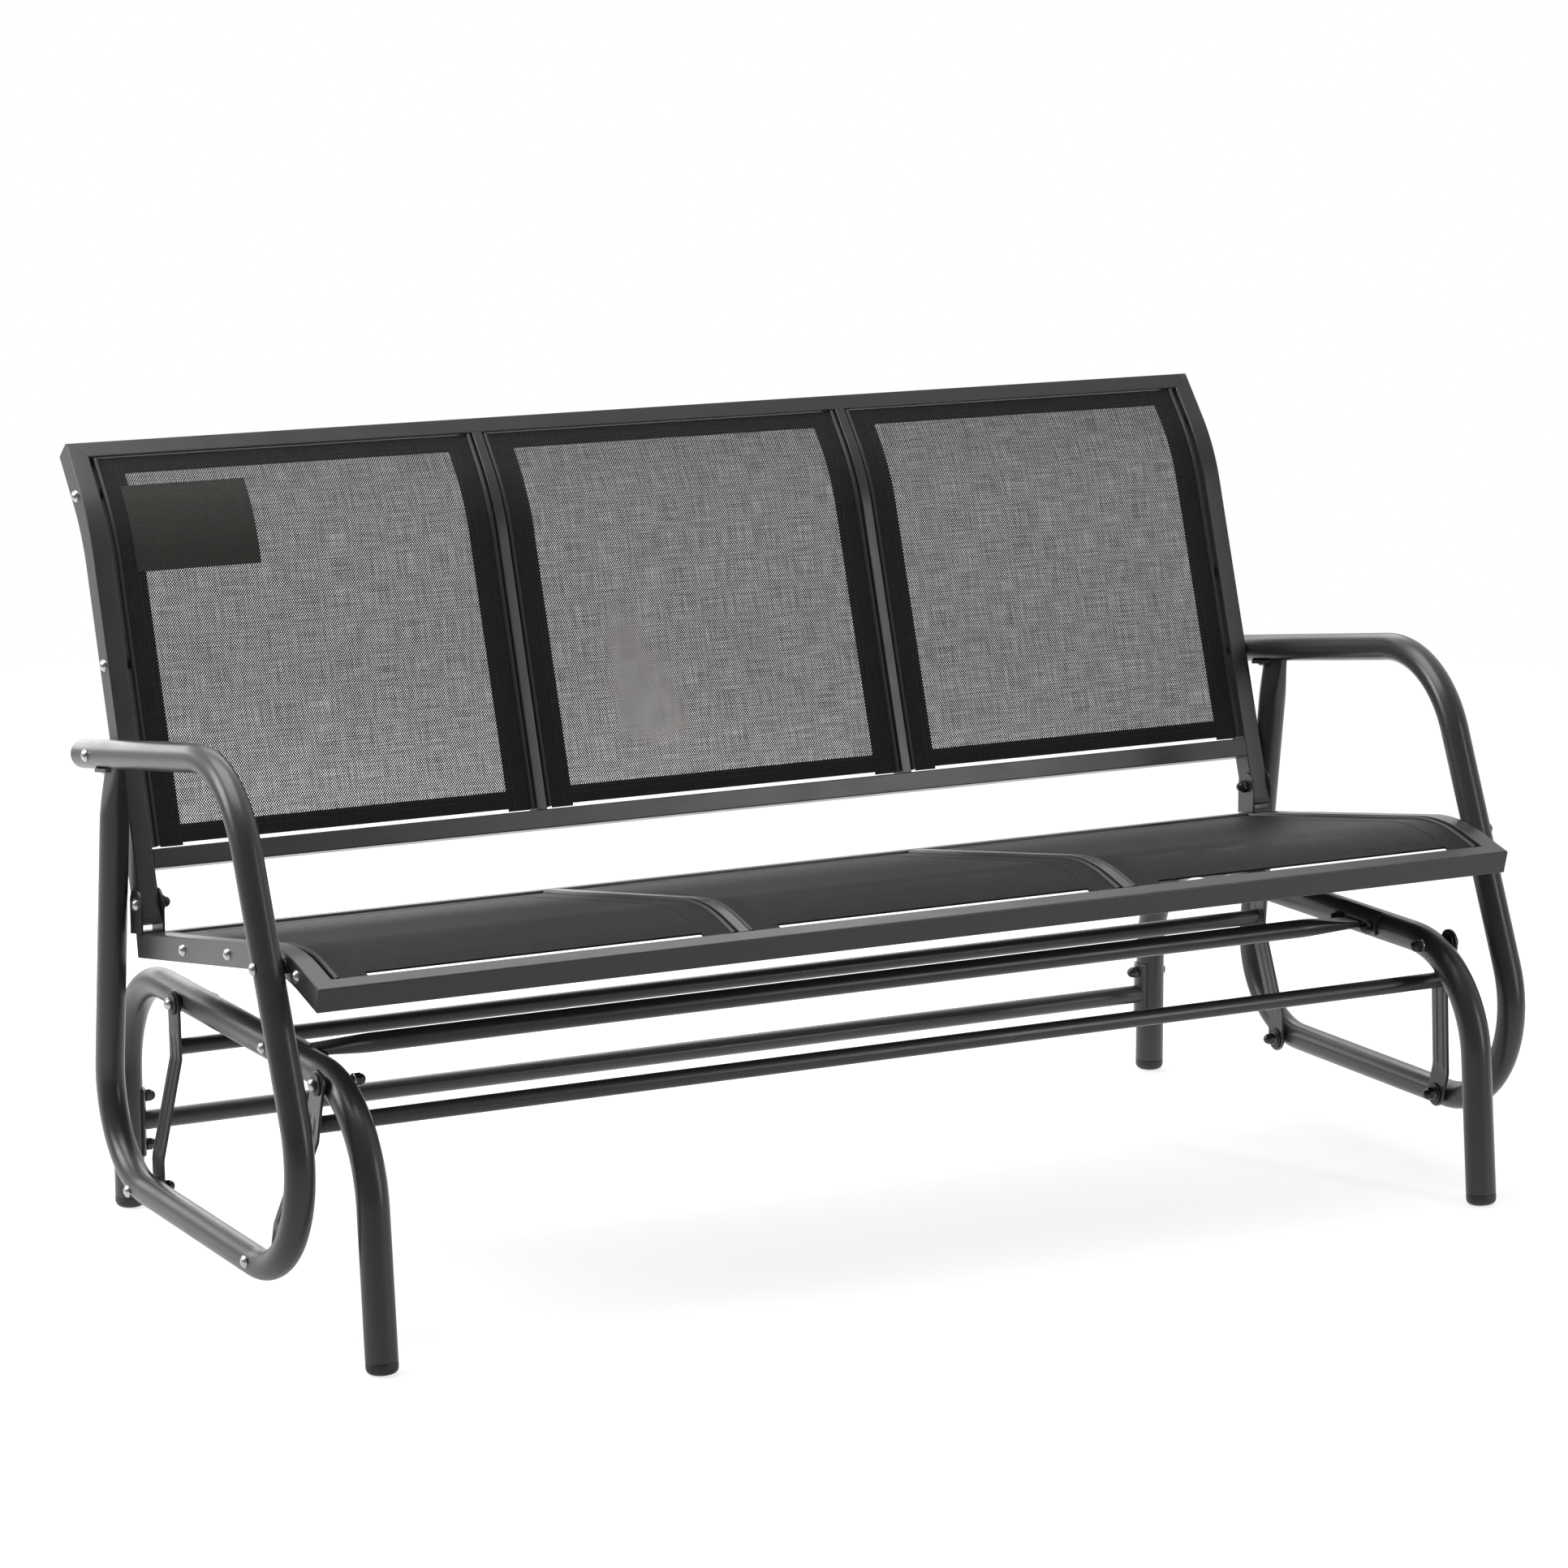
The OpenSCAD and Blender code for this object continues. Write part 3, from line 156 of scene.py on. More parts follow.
glow = add(tree, "ShaderNodeEmission", sockets={"Color": (1, 1, 1, 1), "Strength": power})
lit = add(tree, "ShaderNodeAddShader", sockets={0: pale.outputs[0], 1: glow.outputs[0]})
clear = add(tree, "ShaderNodeBsdfTransparent")
mixed = add(tree, "ShaderNodeMixShader",
            sockets={0: fade, 1: lit.outputs[0], 2: clear.outputs[0]})
add(tree, "ShaderNodeOutputMaterial", sockets={"Surface": mixed.outputs[0]})

floor_mesh = bpy.data.meshes.new("floor")
floor_mesh.from_pydata([(-6, -6, 0), (6, -6, 0), (6, 6, 0), (-6, 6, 0)], [], [(0, 1, 2, 3)])
floor_mesh.materials.append(floor_paint)
floor = placed("floor", floor_mesh)
print("floor glows at", FLOOR_GLOW)


# %% Lamps
def soft_lamp(name, place, aim, wide, tall, watts):
    """An area lamp at a place, turned towards a point."""
    data = bpy.data.lights.new(name, "AREA")
    data.shape = "RECTANGLE"
    data.size, data.size_y = wide, tall
    data.energy = watts
    lamp = placed(name, data)
    lamp.location = place
    lamp.rotation_euler = (Vector(aim) - Vector(place)).to_track_quat("-Z", "Y").to_euler()


soft_lamp("top_softbox", (-0.8, 0.3, 3.2), (0, 0, 0.3), 2.4, 2.4, 84)
soft_lamp("back_softbox", (1.0, 3.2, 2.6), (0, 0, 0.4), 3.0, 1.4, 36)
soft_lamp("back_strip", (-0.4, 3.7, 1.2), (-0.3, 0, 0.5), 3.6, 0.7, 24)
soft_lamp("front_strip", (2.3, -3.6, 1.5), (0, 0, 0.4), 0.3, 2.4, 36)
soft_lamp("side_softbox", (-3.3, 1.3, 2.3), (-0.4, 0, 0.4), 1.6, 1.6, 75)
print("lamps:", ", ".join(lamp.name for lamp in bpy.data.lights))

# %% [markdown]
# ## Finishes
# Every hard finish is made of nodes on Object coordinates, so nothing slides when the bench swings.
# The frame's powder coat has a fine orange peel, the fasteners are bright zinc, and the plugs,
# bushes and cap nuts are black. A number that is the same everywhere sits on the shader itself.


# %% Hard finishes
def hard_finish(name, colour, rough, metal, grain, depth, mottle=0.06, rough_swing=0.08):
    """A procedural finish: base colour with mottling, roughness that wanders, and a fine grain."""
    material = bpy.data.materials.new(name)
    tree = node_tree(material)
    place = add(tree, "ShaderNodeTexCoord").outputs["Object"]
    cloud = add(tree, "ShaderNodeTexNoise", sockets={"Vector": place, "Scale": 14.0, "Detail": 3.0})
    fine = add(tree, "ShaderNodeTexNoise", sockets={"Vector": place, "Scale": grain, "Detail": 2.0})
    dark = tuple(c * (1 - mottle) for c in colour) + (1,)
    light = tuple(min(1, c * (1 + mottle)) for c in colour) + (1,)
    gloss = mapped(tree, cloud.outputs["Fac"], 0.3, 0.7,
                   rough - rough_swing / 2, rough + rough_swing / 2)
    peel = add(tree, "ShaderNodeBump", sockets={
        "Strength": 0.35, "Distance": depth, "Height": fine.outputs["Fac"]})
    shader = add(tree, "ShaderNodeBsdfPrincipled", sockets={
        "Base Color": blend(tree, cloud.outputs["Fac"], dark, light), "Roughness": gloss,
        "Metallic": metal, "Normal": peel.outputs[0]})
    add(tree, "ShaderNodeOutputMaterial", sockets={"Surface": shader.outputs[0]})
    return material


powder_coat = hard_finish("charcoal_powder_coat", (0.031, 0.031, 0.034), 0.30, 0.0, 900, 0.0002)
bar_black = hard_finish("bar_black", (0.009, 0.009, 0.010), 0.5, 0.0, 700, 0.0001)
bright_zinc = hard_finish("bright_zinc", (0.50, 0.50, 0.52), 0.26, 1.0, 1400, 0.00005)
black_nylon = hard_finish("black_nylon", (0.014, 0.014, 0.015), 0.45, 0.0, 700, 0.0001)
black_nut_coat = hard_finish("black_nut_coat", (0.012, 0.012, 0.013), 0.26, 0.0, 1100, 0.00004)

# %% [markdown]
# The sling cloth is an open weave of black coated yarn. Its knots and holes alternate like the
# fields of a chess board, 2.8 mm apart along a row and 1.9 mm from row to row, and the light
# behind it shows through the holes. The pattern is a product of two cosines on the cloth's own
# UV map, which is in metres, and long thin noise makes some yarns thicker than others. The seat
# is seen along its face, where the standing yarns cover their holes, so its holes are smaller.

# %% Cloth finishes
WEAVE_ACROSS = 2.8 * MM
WEAVE_ALONG = 1.9 * MM
SLUB = 0.42
SLUB_STRETCHES = ((24.0, 520.0, 1.0), (480.0, 26.0, 1.0))


def woven_finish(name, yarn, knot, hole_level, rough, shine, turn=0.0, sheen_speck=None):
    """A weave on the UV map called cloth. Holes open where it dips below minus the hole level."""
    material = bpy.data.materials.new(name)
    tree = node_tree(material)
    flat = add(tree, "ShaderNodeUVMap", uv_map="cloth").outputs["UV"]
    if turn:
        flat = add(tree, "ShaderNodeVectorRotate", rotation_type="Z_AXIS",
                   sockets={"Vector": flat, "Angle": math.radians(turn)}).outputs[0]
    parts = add(tree, "ShaderNodeSeparateXYZ", sockets={0: flat})
    across = calc(tree, "MULTIPLY", parts.outputs[0], 2 * math.pi / WEAVE_ACROSS)
    along = calc(tree, "MULTIPLY", parts.outputs[1], math.pi / WEAVE_ALONG)
    weave = calc(tree, "MULTIPLY", calc(tree, "COSINE", across), calc(tree, "COSINE", along))
    slubs = []
    for stretch in SLUB_STRETCHES:
        drawn = add(tree, "ShaderNodeVectorMath", operation="MULTIPLY",
                    sockets={0: flat, 1: stretch})
        slubs.append(add(tree, "ShaderNodeTexNoise", noise_dimensions="2D", sockets={
            "Vector": drawn.outputs[0], "Scale": 1.0, "Detail": 1.0}).outputs["Fac"])
    uneven = calc(tree, "MULTIPLY_ADD", calc(tree, "ADD", *slubs), SLUB, -SLUB)
    field = calc(tree, "ADD", weave, uneven)
    colour = blend(tree, mapped(tree, field, -0.5, 0.6), (*yarn, 1), (*knot, 1))
    # Pale specks where the weave dips are painted sheen.
    if sheen_speck:
        colour = blend(tree, mapped(tree, field, -0.55, -0.85), colour, (*sheen_speck, 1))
    relief = add(tree, "ShaderNodeBump", sockets={
        "Strength": 0.5, "Distance": 0.0004, "Height": weave})
    shader = add(tree, "ShaderNodeBsdfPrincipled", sockets={
        "Base Color": colour, "Roughness": rough, "Specular IOR Level": shine,
        "Normal": relief.outputs[0]})
    if hole_level is not None:
        closed = mapped(tree, field, -hole_level - 0.2, -hole_level)
        tree.links.new(closed, shader.inputs["Alpha"])
    add(tree, "ShaderNodeOutputMaterial", sockets={"Surface": shader.outputs[0]})
    return material


mesh_cloth = woven_finish("sling_mesh", (0.020, 0.020, 0.022), (0.007, 0.007, 0.008),
                          0.16, 0.55, 0.3)
# The seat's copies of the cloth and hem have lighter yarns than the back's: painted light, for the
# light from above that falls along the seat.
seat_lit_mesh_cloth = woven_finish("seat_lit_sling_mesh", (0.028, 0.028, 0.031), (0.003, 0.003, 0.004),
                               0.8, 0.5, 0.1)
seat_lit_hem_cloth = woven_finish("seat_lit_hem_mesh", (0.019, 0.019, 0.021), (0.003, 0.003, 0.004),
                              None, 0.5, 0.1)
# The back hem's pale specks are painted sheen.
hem_cloth = woven_finish("hem_mesh", (0.009, 0.009, 0.011), (0.004, 0.004, 0.005),
                         None, 0.62, 0.15, turn=8, sheen_speck=(0.05, 0.05, 0.056))
patch_cloth = woven_finish("patch_cloth", (0.042, 0.042, 0.037), (0.012, 0.012, 0.011),
                           None, 0.6, 0.2)
seam_thread = hard_finish("seam_thread", (0.009, 0.009, 0.010), 0.55, 0.0, 900, 0.0001)
print("finishes:", ", ".join(material.name for material in bpy.data.materials))

# %% [markdown]
# ## The bench's own measures
# The rails follow two bent lines in the side view, one for the seat and one for the back. The
# same few numbers that shaped the solid model shape the dressed pieces: a start, a corner, an end
# and a bend radius. All pieces are written in millimetres and scaled to metres as they are made.


# %% Lines in the side view
def ray(angle):
    return Vector((math.cos(math.radians(angle)), math.sin(math.radians(angle))))


def heading(p, q):
    return math.degrees(math.atan2(q[1] - p[1], q[0] - p[0]))


def turn_between(a, b):
    return (b - a + 180) % 360 - 180


def smooth_ramp(t):
    t = min(max(t, 0.0), 1.0)
    return t * t * (3 - 2 * t)


class RailLine:
    """A bent line [y, z] in mm: a run, an arc and a run, with depth measured off one side."""

    def __init__(self, start, corner, end, bend, side):
        self.start, self.side, self.bend = Vector(start), side, bend
        self.aim = heading(start, corner)
        self.bend_angle = abs(turn_between(self.aim, heading(corner, end)))
        setback = bend * math.tan(math.radians(self.bend_angle / 2))
        self.first = (Vector(corner) - Vector(start)).length - setback
        self.second = (Vector(end) - Vector(corner)).length - setback
        self.arc = math.radians(self.bend_angle) * bend
        self.length = self.first + self.arc + self.second
        self.centre = self.start + self.first * ray(self.aim) + bend * ray(self.aim + 90 * side)

    def at(self, s, depth):
        rest = s - self.first if s < self.first else max(s - self.first - self.arc, 0)
        way = self.way(s)
        return self.centre - (self.bend - depth) * ray(way + 90 * self.side) + rest * ray(way)

    def way(self, s):
        along = min(max(s - self.first, 0), self.arc)
        return self.aim + self.side * math.degrees(along / self.bend)

    def sweep(self, outline, stops):
        """Rings of (x, depth) points, one at each distance."""
        return [[(x, *self.at(s, d)) for x, d in outline] for s in stops]

    def stops(self, s0, s1, steps=14, apart=60):
        """Distances from s0 to s1, close together in the bend and apart on the runs."""
        marks = [self.first + self.arc * i / steps for i in range(steps + 1)]
        marks += [i * apart for i in range(int(self.length / apart) + 1)]
        return [s0] + sorted(m for m in marks if s0 + 1 < m < s1 - 1) + [s1]


seat_rear = Vector((178.4, 352.5))
seat_corner = seat_rear + 421 * ray(180 - 9.4)
seat_line = RailLine(seat_rear, seat_corner, seat_corner + 98.8 * ray(180 + 14.8), 220, 1)
back_foot = Vector((157.2, 373.5))
back_corner = back_foot + 432.2 * ray(90 - 18)
back_line = RailLine(back_foot, back_corner, back_corner + 105.9 * ray(90 - 40.1), 220, -1)

SIDES = (("left", -1), ("right", 1))
FRAME_X, RAIL_W = 721.0, 22.0
RAIL_IN = FRAME_X - RAIL_W
SEAT_RAIL_D, BACK_RAIL_D, END_RAIL_W = 27, 28, 19.5
ARM_X, ARM_R = 740.0, 16.0
BASE_X, BASE_R = 673.0, 17.0
ARM_OUT, BASE_OUT = ARM_X + ARM_R, BASE_X + BASE_R
front_top, rear_top = Vector((-261, 280)), Vector((139, 280))
FRONT_LEAN, REAR_LEAN = 16.0, -2.5
LINK_LEN = 200.0
front_low = front_top + LINK_LEN * ray(-90 + FRONT_LEAN)
rear_low = rear_top + LINK_LEN * ray(-90 + REAR_LEAN)
print("seat line %.1f mm, back line %.1f mm" % (seat_line.length, back_line.length))

# %% [markdown]
# Three small helpers make almost everything. One turns points and faces into an object with its
# finish, and weights its normals so that a flat face stays flat beside a rounded corner. One
# joins rings of points into a closed skin. The last puts a piece on its body and hides the solids
# that it stands for.


# %% Mesh helpers
def piece(name, points, faces, material, crease=35):
    """An object at the origin from points in mm, smooth but for edges sharper than crease."""
    mesh = bpy.data.meshes.new(name)
    mesh.from_pydata([tuple(c * MM for c in p) for p in points], [], faces)
    made = placed(name, mesh)
    tidy = bmesh.new()
    tidy.from_mesh(mesh)
    bmesh.ops.remove_doubles(tidy, verts=tidy.verts, dist=1e-7)
    bmesh.ops.recalc_face_normals(tidy, faces=tidy.faces)
    tidy.to_mesh(mesh)
    tidy.free()
    mesh.materials.append(material)
    mesh.shade_smooth()
    mesh.set_sharp_from_angle(angle=math.radians(crease))
    level = made.modifiers.new("flat faces", "WEIGHTED_NORMAL")
    level.weight, level.keep_sharp = 100, True
    return made


def skin(rings, points=None, faces=None, closed=False):
    """Joins rings of as many points each, with capped ends unless they close on themselves."""
    points = [] if points is None else points
    faces = [] if faces is None else faces
    base, count = len(points), len(rings[0])
    for ring in rings:
        points += [tuple(p) for p in ring]
    last = len(rings) if closed else len(rings) - 1
    for i in range(last):
        a, b = base + i * count, base + ((i + 1) % len(rings)) * count
        for j in range(count):
            k = (j + 1) % count
            faces.append((a + j, a + k, b + k, b + j))
    if not closed:
        faces.append(tuple(range(base, base + count)))
        faces.append(tuple(range(base + (len(rings) - 1) * count, base + len(rings) * count)))
    return points, faces


def mirrored(points, faces):
    """The same skin on both sides of the bench."""
    count = len(points)
    both = points + [(-x, y, z) for x, y, z in points]
    return both, faces + [tuple(count + i for i in reversed(f)) for f in faces]


def dress(made, body, slot, *nodes):
    """Rides a finished piece on its body and lets it stand for CAD nodes."""
    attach(made, body)
    if nodes:
        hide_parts(*nodes)
    print("%-26s %6d faces on %s" % (made.name, len(made.data.polygons), body))


def grid_faces(wide, tall):
    """The faces of a grid of points that is wide points across and tall points long."""
    return [(j * wide + i, j * wide + i + 1, (j + 1) * wide + i + 1, (j + 1) * wide + i)
            for j in range(tall - 1) for i in range(wide - 1)]


def rounded_box(a0, a1, b0, b1, r, steps=3):
    """Corner points of a rounded rectangle, anticlockwise."""
    points = []
    for ca, cb, start in ((a1 - r, b1 - r, 0), (a0 + r, b1 - r, 90),
                          (a0 + r, b0 + r, 180), (a1 - r, b0 + r, 270)):
        for i in range(steps + 1):
            corner = r * ray(start + 90 * i / steps)
            points.append((ca + corner[0], cb + corner[1]))
    return points


# %% [markdown]
# ## Bent tubes
# The arm loops and the base are one round tube each, bent on a mandrel. Each ring of points
# stands square to the tube's centreline, and the arcs get a ring every few degrees, which keeps
# the outline smooth. The top of the upright is squashed in a press, so there the rings change
# from a circle to a flat oblong with rounded corners.


# %% Bent tubes
def bent_centreline(line, bends):
    """Points [y, z] and headings along a tube line with arcs at its inner corners."""
    stops = [(Vector(line[0]), heading(line[0], line[1]))]
    for i in range(1, len(line) - 1):
        before, after = heading(line[i - 1], line[i]), heading(line[i], line[i + 1])
        turn = turn_between(before, after)
        setback = bends[i - 1] * math.tan(math.radians(abs(turn) / 2))
        side = 1 if turn > 0 else -1
        begin = Vector(line[i]) - setback * ray(before)
        centre = begin + bends[i - 1] * ray(before + 90 * side)
        steps = max(8, int(abs(turn) / 4))
        for k in range(steps + 1):
            way = before + turn * k / steps
            stops.append((centre - bends[i - 1] * ray(way + 90 * side), way))
    stops.append((Vector(line[-1]), heading(line[-2], line[-1])))
    return stops


def oblong(half_a, half_b, power=2.0, sides=40):
    """Offsets round an oblong: an ellipse for power 2, boxier for more."""
    offsets = []
    for i in range(sides):
        c, s = math.cos(2 * math.pi * i / sides), math.sin(2 * math.pi * i / sides)
        offsets.append((half_a * math.copysign(abs(c) ** (2 / power), c),
                        half_b * math.copysign(abs(s) ** (2 / power), s)))
    return offsets


def tube_ring(x, at, way, half_x, half_n, power=2.0):
    """An oblong ring round a point of the centreline, square to the heading."""
    normal = ray(way + 90)
    return [(x + across, at[0] + off * normal[0], at[1] + off * normal[1])
            for across, off in oblong(half_x, half_n, power)]


ARM_SLOPE = 8.7
arm_end = Vector((271, 536.7))


def armrest_height(y):
    return arm_end[1] + (arm_end[0] - y) * math.tan(math.radians(ARM_SLOPE))


low_h = (front_low[1] + rear_low[1]) / 2
joint_at = Vector((176, armrest_height(176)))
heel = Vector((233, low_h))
up = heading(heel, joint_at)
arm_line = [arm_end, Vector((-157, armrest_height(-157))), Vector((-386, low_h)), heel]
CRIMP_FOOT, CRIMP_STEPS, CRIMP_THICK = 76.0, 12, 13.0
FLANGE_FACE = 18.5
arm_stops = bent_centreline(arm_line + [joint_at - CRIMP_FOOT * ray(up)], [130, 123, 110])


def arm_loop_rings():
    rings = [tube_ring(ARM_X, at, way, ARM_R, ARM_R) for at, way in arm_stops]
    half_flat = (math.pi * 2 * ARM_R - 2 * CRIMP_THICK) / 4
    for i in range(1, CRIMP_STEPS + 1):
        t = i / CRIMP_STEPS
        ease = smooth_ramp(t)
        at = joint_at - (CRIMP_FOOT + (8 - CRIMP_FOOT) * t) * ray(up)
        rings.append(tube_ring(ARM_X, at, up, ARM_R + (CRIMP_THICK / 2 - ARM_R) * ease,
                               ARM_R + (half_flat - ARM_R) * ease, 2 + 2.2 * ease))
    return rings


for side, sign in SIDES:
    points, faces = skin(arm_loop_rings())
    aim = 180 + heading(arm_line[0], arm_line[1])
    flange = [(ARM_X + a, *(joint_at + b * ray(aim))) for a, b in rounded_box(-11, 11, 2, 45, 6)]
    down = ray(aim - 90)
    skin([[(x, y + d * down[0], z + d * down[1]) for x, y, z in flange]
          for d in (14.5, 18.2, FLANGE_FACE)], points, faces)
    loop = piece("arm_tube_" + side, [(x * sign, y, z) for x, y, z in points], faces, powder_coat)
    dress(loop, "seat", "frame_steel", "arm_loop_" + side)

# %% [markdown]
# The base is the same kind of tube, and its four legs end in black plugs with a domed rim. A
# plug is turned: its outline is a short list of heights and radii, spun round the leg's axis.

# %% Base sides and foot plugs
BASE_H, FOOT_LEN = 282, 13.0
base_line = [Vector((-365.5, 0)), Vector((-337, BASE_H)), Vector((347, BASE_H)), Vector((346, 0))]
front_leg, rear_leg = heading(base_line[0], base_line[1]), heading(base_line[3], base_line[2])
for side, sign in SIDES:
    line = [base_line[0] + FOOT_LEN * ray(front_leg)] + base_line[1:3]
    line.append(base_line[3] + FOOT_LEN * ray(rear_leg))
    rings = [tube_ring(BASE_X * sign, at, way, BASE_R, BASE_R)
             for at, way in bent_centreline(line, [127, 127])]
    tube = piece("base_tube_" + side, *skin(rings), powder_coat)
    dress(tube, "base", "frame_steel", "base_side_" + side)

plug_outline = [(0.0, 9.0), (0.15, 10.0), (0.6, 11.7), (1.8, 14.2), (3.6, 15.9), (5.8, 16.8),
                (8.0, 17.0), (12.0, 17.0), (12.6, 16.7), (12.9, 16.2), (13.2, 14.0)]
points, faces = [], []
for foot, leg in ((base_line[0], front_leg), (base_line[3], rear_leg)):
    rings = []
    for h, r in plug_outline:
        ring = tube_ring(BASE_X, foot + h * ray(leg), leg, r, r)
        rings.append([(x, y, max(z, 0.0)) for x, y, z in ring])
    skin(rings, points, faces)
feet = piece("foot_plug_set", *mirrored(points, faces), black_nylon)
dress(feet, "base", "black_plastic", "foot_plugs")

# %% [markdown]
# ## Rails
# The seat and the back are frames of rectangular tube. Their corners are cut at an angle and
# welded, so each side rail ends on a slope that meets the slope of the end rail, with a hairline
# left between them. Rounded corners catch the light as the real tube's do.

# %% Rails of the seat and the back
MITRE_GAP, RAIL_EDGE = 0.12, 1.5


def side_rail(line, depth):
    """A bent rail with its far end cut to meet the end rail."""
    outline = rounded_box(RAIL_IN, FRAME_X, 0, depth, RAIL_EDGE)
    rings = line.sweep(outline, line.stops(0, line.length - END_RAIL_W - 2))
    slope = END_RAIL_W / RAIL_W
    rings.append([(x, *line.at(line.length - (FRAME_X - x) * slope - MITRE_GAP, d))
                  for x, d in outline])
    return rings


def end_rail(line, depth):
    """The rail across the far end, with both of its ends cut."""
    outline = rounded_box(line.length - END_RAIL_W, line.length, 0, depth, RAIL_EDGE)
    rings = []
    for sign in (-1, 1):
        rings.append([(sign * (FRAME_X - RAIL_W * (line.length - s) / END_RAIL_W - MITRE_GAP),
                       *line.at(s, d)) for s, d in outline])
    return rings


def cross_rail(line, depth, start, width):
    """A rail butted between the side rails."""
    outline = rounded_box(start, start + width, 0, depth, RAIL_EDGE)
    return [[(x, *line.at(s, d)) for s, d in outline] for x in (-RAIL_IN, RAIL_IN)]


for name, line, depth in (("seat", seat_line, SEAT_RAIL_D), ("back", back_line, BACK_RAIL_D)):
    points, faces = skin(side_rail(line, depth))
    for side, sign in SIDES:
        turned = [(x * sign, y, z) for x, y, z in points]
        rail = piece("%s_rail_%s" % (name, side), turned, faces, powder_coat)
        dress(rail, "seat", "frame_steel", "%s_side_rail_%s" % (name, side))

for name, node, rings in (
        ("seat_rail_front", "seat_front_rail", end_rail(seat_line, SEAT_RAIL_D)),
        ("seat_rail_rear", "seat_rear_rail", cross_rail(seat_line, SEAT_RAIL_D, 0, 22)),
        ("back_rail_top", "back_top_rail", end_rail(back_line, BACK_RAIL_D)),
        ("back_rail_bottom", "back_bottom_rail", cross_rail(back_line, BACK_RAIL_D, 52, 21.5))):
    dress(piece(name, *skin(rings), powder_coat), "seat", "frame_steel", node)

# %% [markdown]
# Two slim dividers split each frame into three, and beside every sling runs a bar that grips
# the cloth's edge. A bar is a smooth bead at the front and flat at the sides, and it is as black
# as the hems, so that in the photo the cloth seems to run up to the divider.

# %% Dividers and sling bars
DIVIDER_IN, DIVIDER_OUT = 228.0, 240.0
BAR_W = 6.0
bar_starts = (RAIL_IN - 4.5 - BAR_W, DIVIDER_OUT + 1.5, DIVIDER_IN - 1.5 - BAR_W)


def bead_outline(x0, depth):
    """A sling bar's section: a half round nose at the front, then straight sides."""
    r = BAR_W / 2
    nose = [(x0 + r + r * math.cos(math.radians(a)), 0.5 + r - r * math.sin(math.radians(a)))
            for a in range(0, 181, 20)]
    return nose + [(x0, 0.5 + depth), (x0 + BAR_W, 0.5 + depth)]


for name, line, near, trim0, trim1 in (
        ("seat", seat_line, 22, 25, 22.5), ("back", back_line, 73.5, 76.5, 20.5)):
    points, faces = [], []
    outline = rounded_box(DIVIDER_IN, DIVIDER_OUT, 0, 22, 0.9)
    skin(line.sweep(outline, line.stops(near, line.length - END_RAIL_W)), points, faces)
    divider = piece(name + "_divider_pair", *mirrored(points, faces), powder_coat)
    dress(divider, "seat", "frame_steel", name + "_dividers")
    points, faces = [], []
    for start in bar_starts:
        skin(line.sweep(bead_outline(start, 19), line.stops(trim0, line.length - trim1)),
             points, faces)
    bars = piece(name + "_bar_set", *mirrored(points, faces), bar_black)
    dress(bars, "seat", "frame_steel", name + "_sling_bars")

# %% [markdown]
# ## Slings
# Each of the six slings is one sheet, pulled tight between two bars, and its edges are folded
# back and sewn into black hems. A sheet is a grid of points on the rail's line, with a UV map in
# metres, so the weave stays the same size everywhere, and Solidify gives it its thickness. The
# side hems hold the bars and run on a little past the cloth, so a small tab shows at its corners.

# %% Slings and hems
SLING_SET, SHEET_T, HEM_T, TUCK = 3.2, 0.6, 2.3, 2
SEAT_HEM, BACK_HEM, END_HEM = 31.0, 26.0, 20.0


def cloth_grid(name, line, xs, stops, depth, thick, material, smooth=True):
    """A sheet over xs and stops at a depth behind the rails' face, with its flat UV map."""
    points = [(x, *line.at(s, depth)) for s in stops for x in xs]
    mesh = bpy.data.meshes.new(name)
    faces = grid_faces(len(xs), len(stops))
    mesh.from_pydata([tuple(c * MM for c in p) for p in points], [], faces)
    layer = mesh.uv_layers.new(name="cloth")
    flat = [(x * MM, s * MM) for s in stops for x in xs]
    for loop in mesh.loops:
        layer.data[loop.index].uv = flat[loop.vertex_index]
    mesh.materials.append(material)
    if smooth:
        mesh.shade_smooth()
    made = placed(name, mesh)
    front = line.at(stops[0], 0) - line.at(stops[0], 5)
    if mesh.polygons[0].normal.dot(Vector((0, front[0], front[1]))) < 0:
        mesh.flip_normals()
    wall = made.modifiers.new("thickness", "SOLIDIFY")
    wall.thickness = thick * MM
    wall.offset = -1
    return made


def steps_between(a, b, step):
    count = max(2, int(abs(b - a) / step) + 1)
    return [a + (b - a) * i / (count - 1) for i in range(count)]


def sling(name, line, x0, x1, s0, s1, node, cloth, hem_finish, hem_w, tabs):
    """One sling with its four hems, each a second layer of cloth behind the sheet's face."""
    def rows(a, b):
        return line.stops(a, b, 16, 24)

    sheet = cloth_grid(name + "_cloth", line, steps_between(x0 - TUCK, x1 + TUCK, 22), rows(s0, s1),
                       SLING_SET + 0.02, SHEET_T, cloth)
    near, far = s0 + 0.4, s1 - 0.4
    sides = rows(near - tabs[0], far + tabs[1])
    hems = []
    for tag, a, b, stops in (
            ("hem_a", x0 + 0.3, x0 + hem_w, sides), ("hem_b", x1 - hem_w, x1 - 0.3, sides),
            ("hem_c", x0 + hem_w, x1 - hem_w, rows(near, s0 + END_HEM)),
            ("hem_d", x0 + hem_w, x1 - hem_w, rows(s1 - END_HEM, far))):
        hems.append(cloth_grid(name + "_" + tag, line, steps_between(a, b, 14), stops,
                               SLING_SET - 0.25, HEM_T, hem_finish, False))
    dress(sheet, "seat", "sling_mesh", node)
    for hem in hems:
        dress(hem, "seat", "sling_mesh")
    print("%-22s flat %.0f x %.0f mm" % (sheet.name, x1 - x0 + 2 * TUCK, s1 - s0))


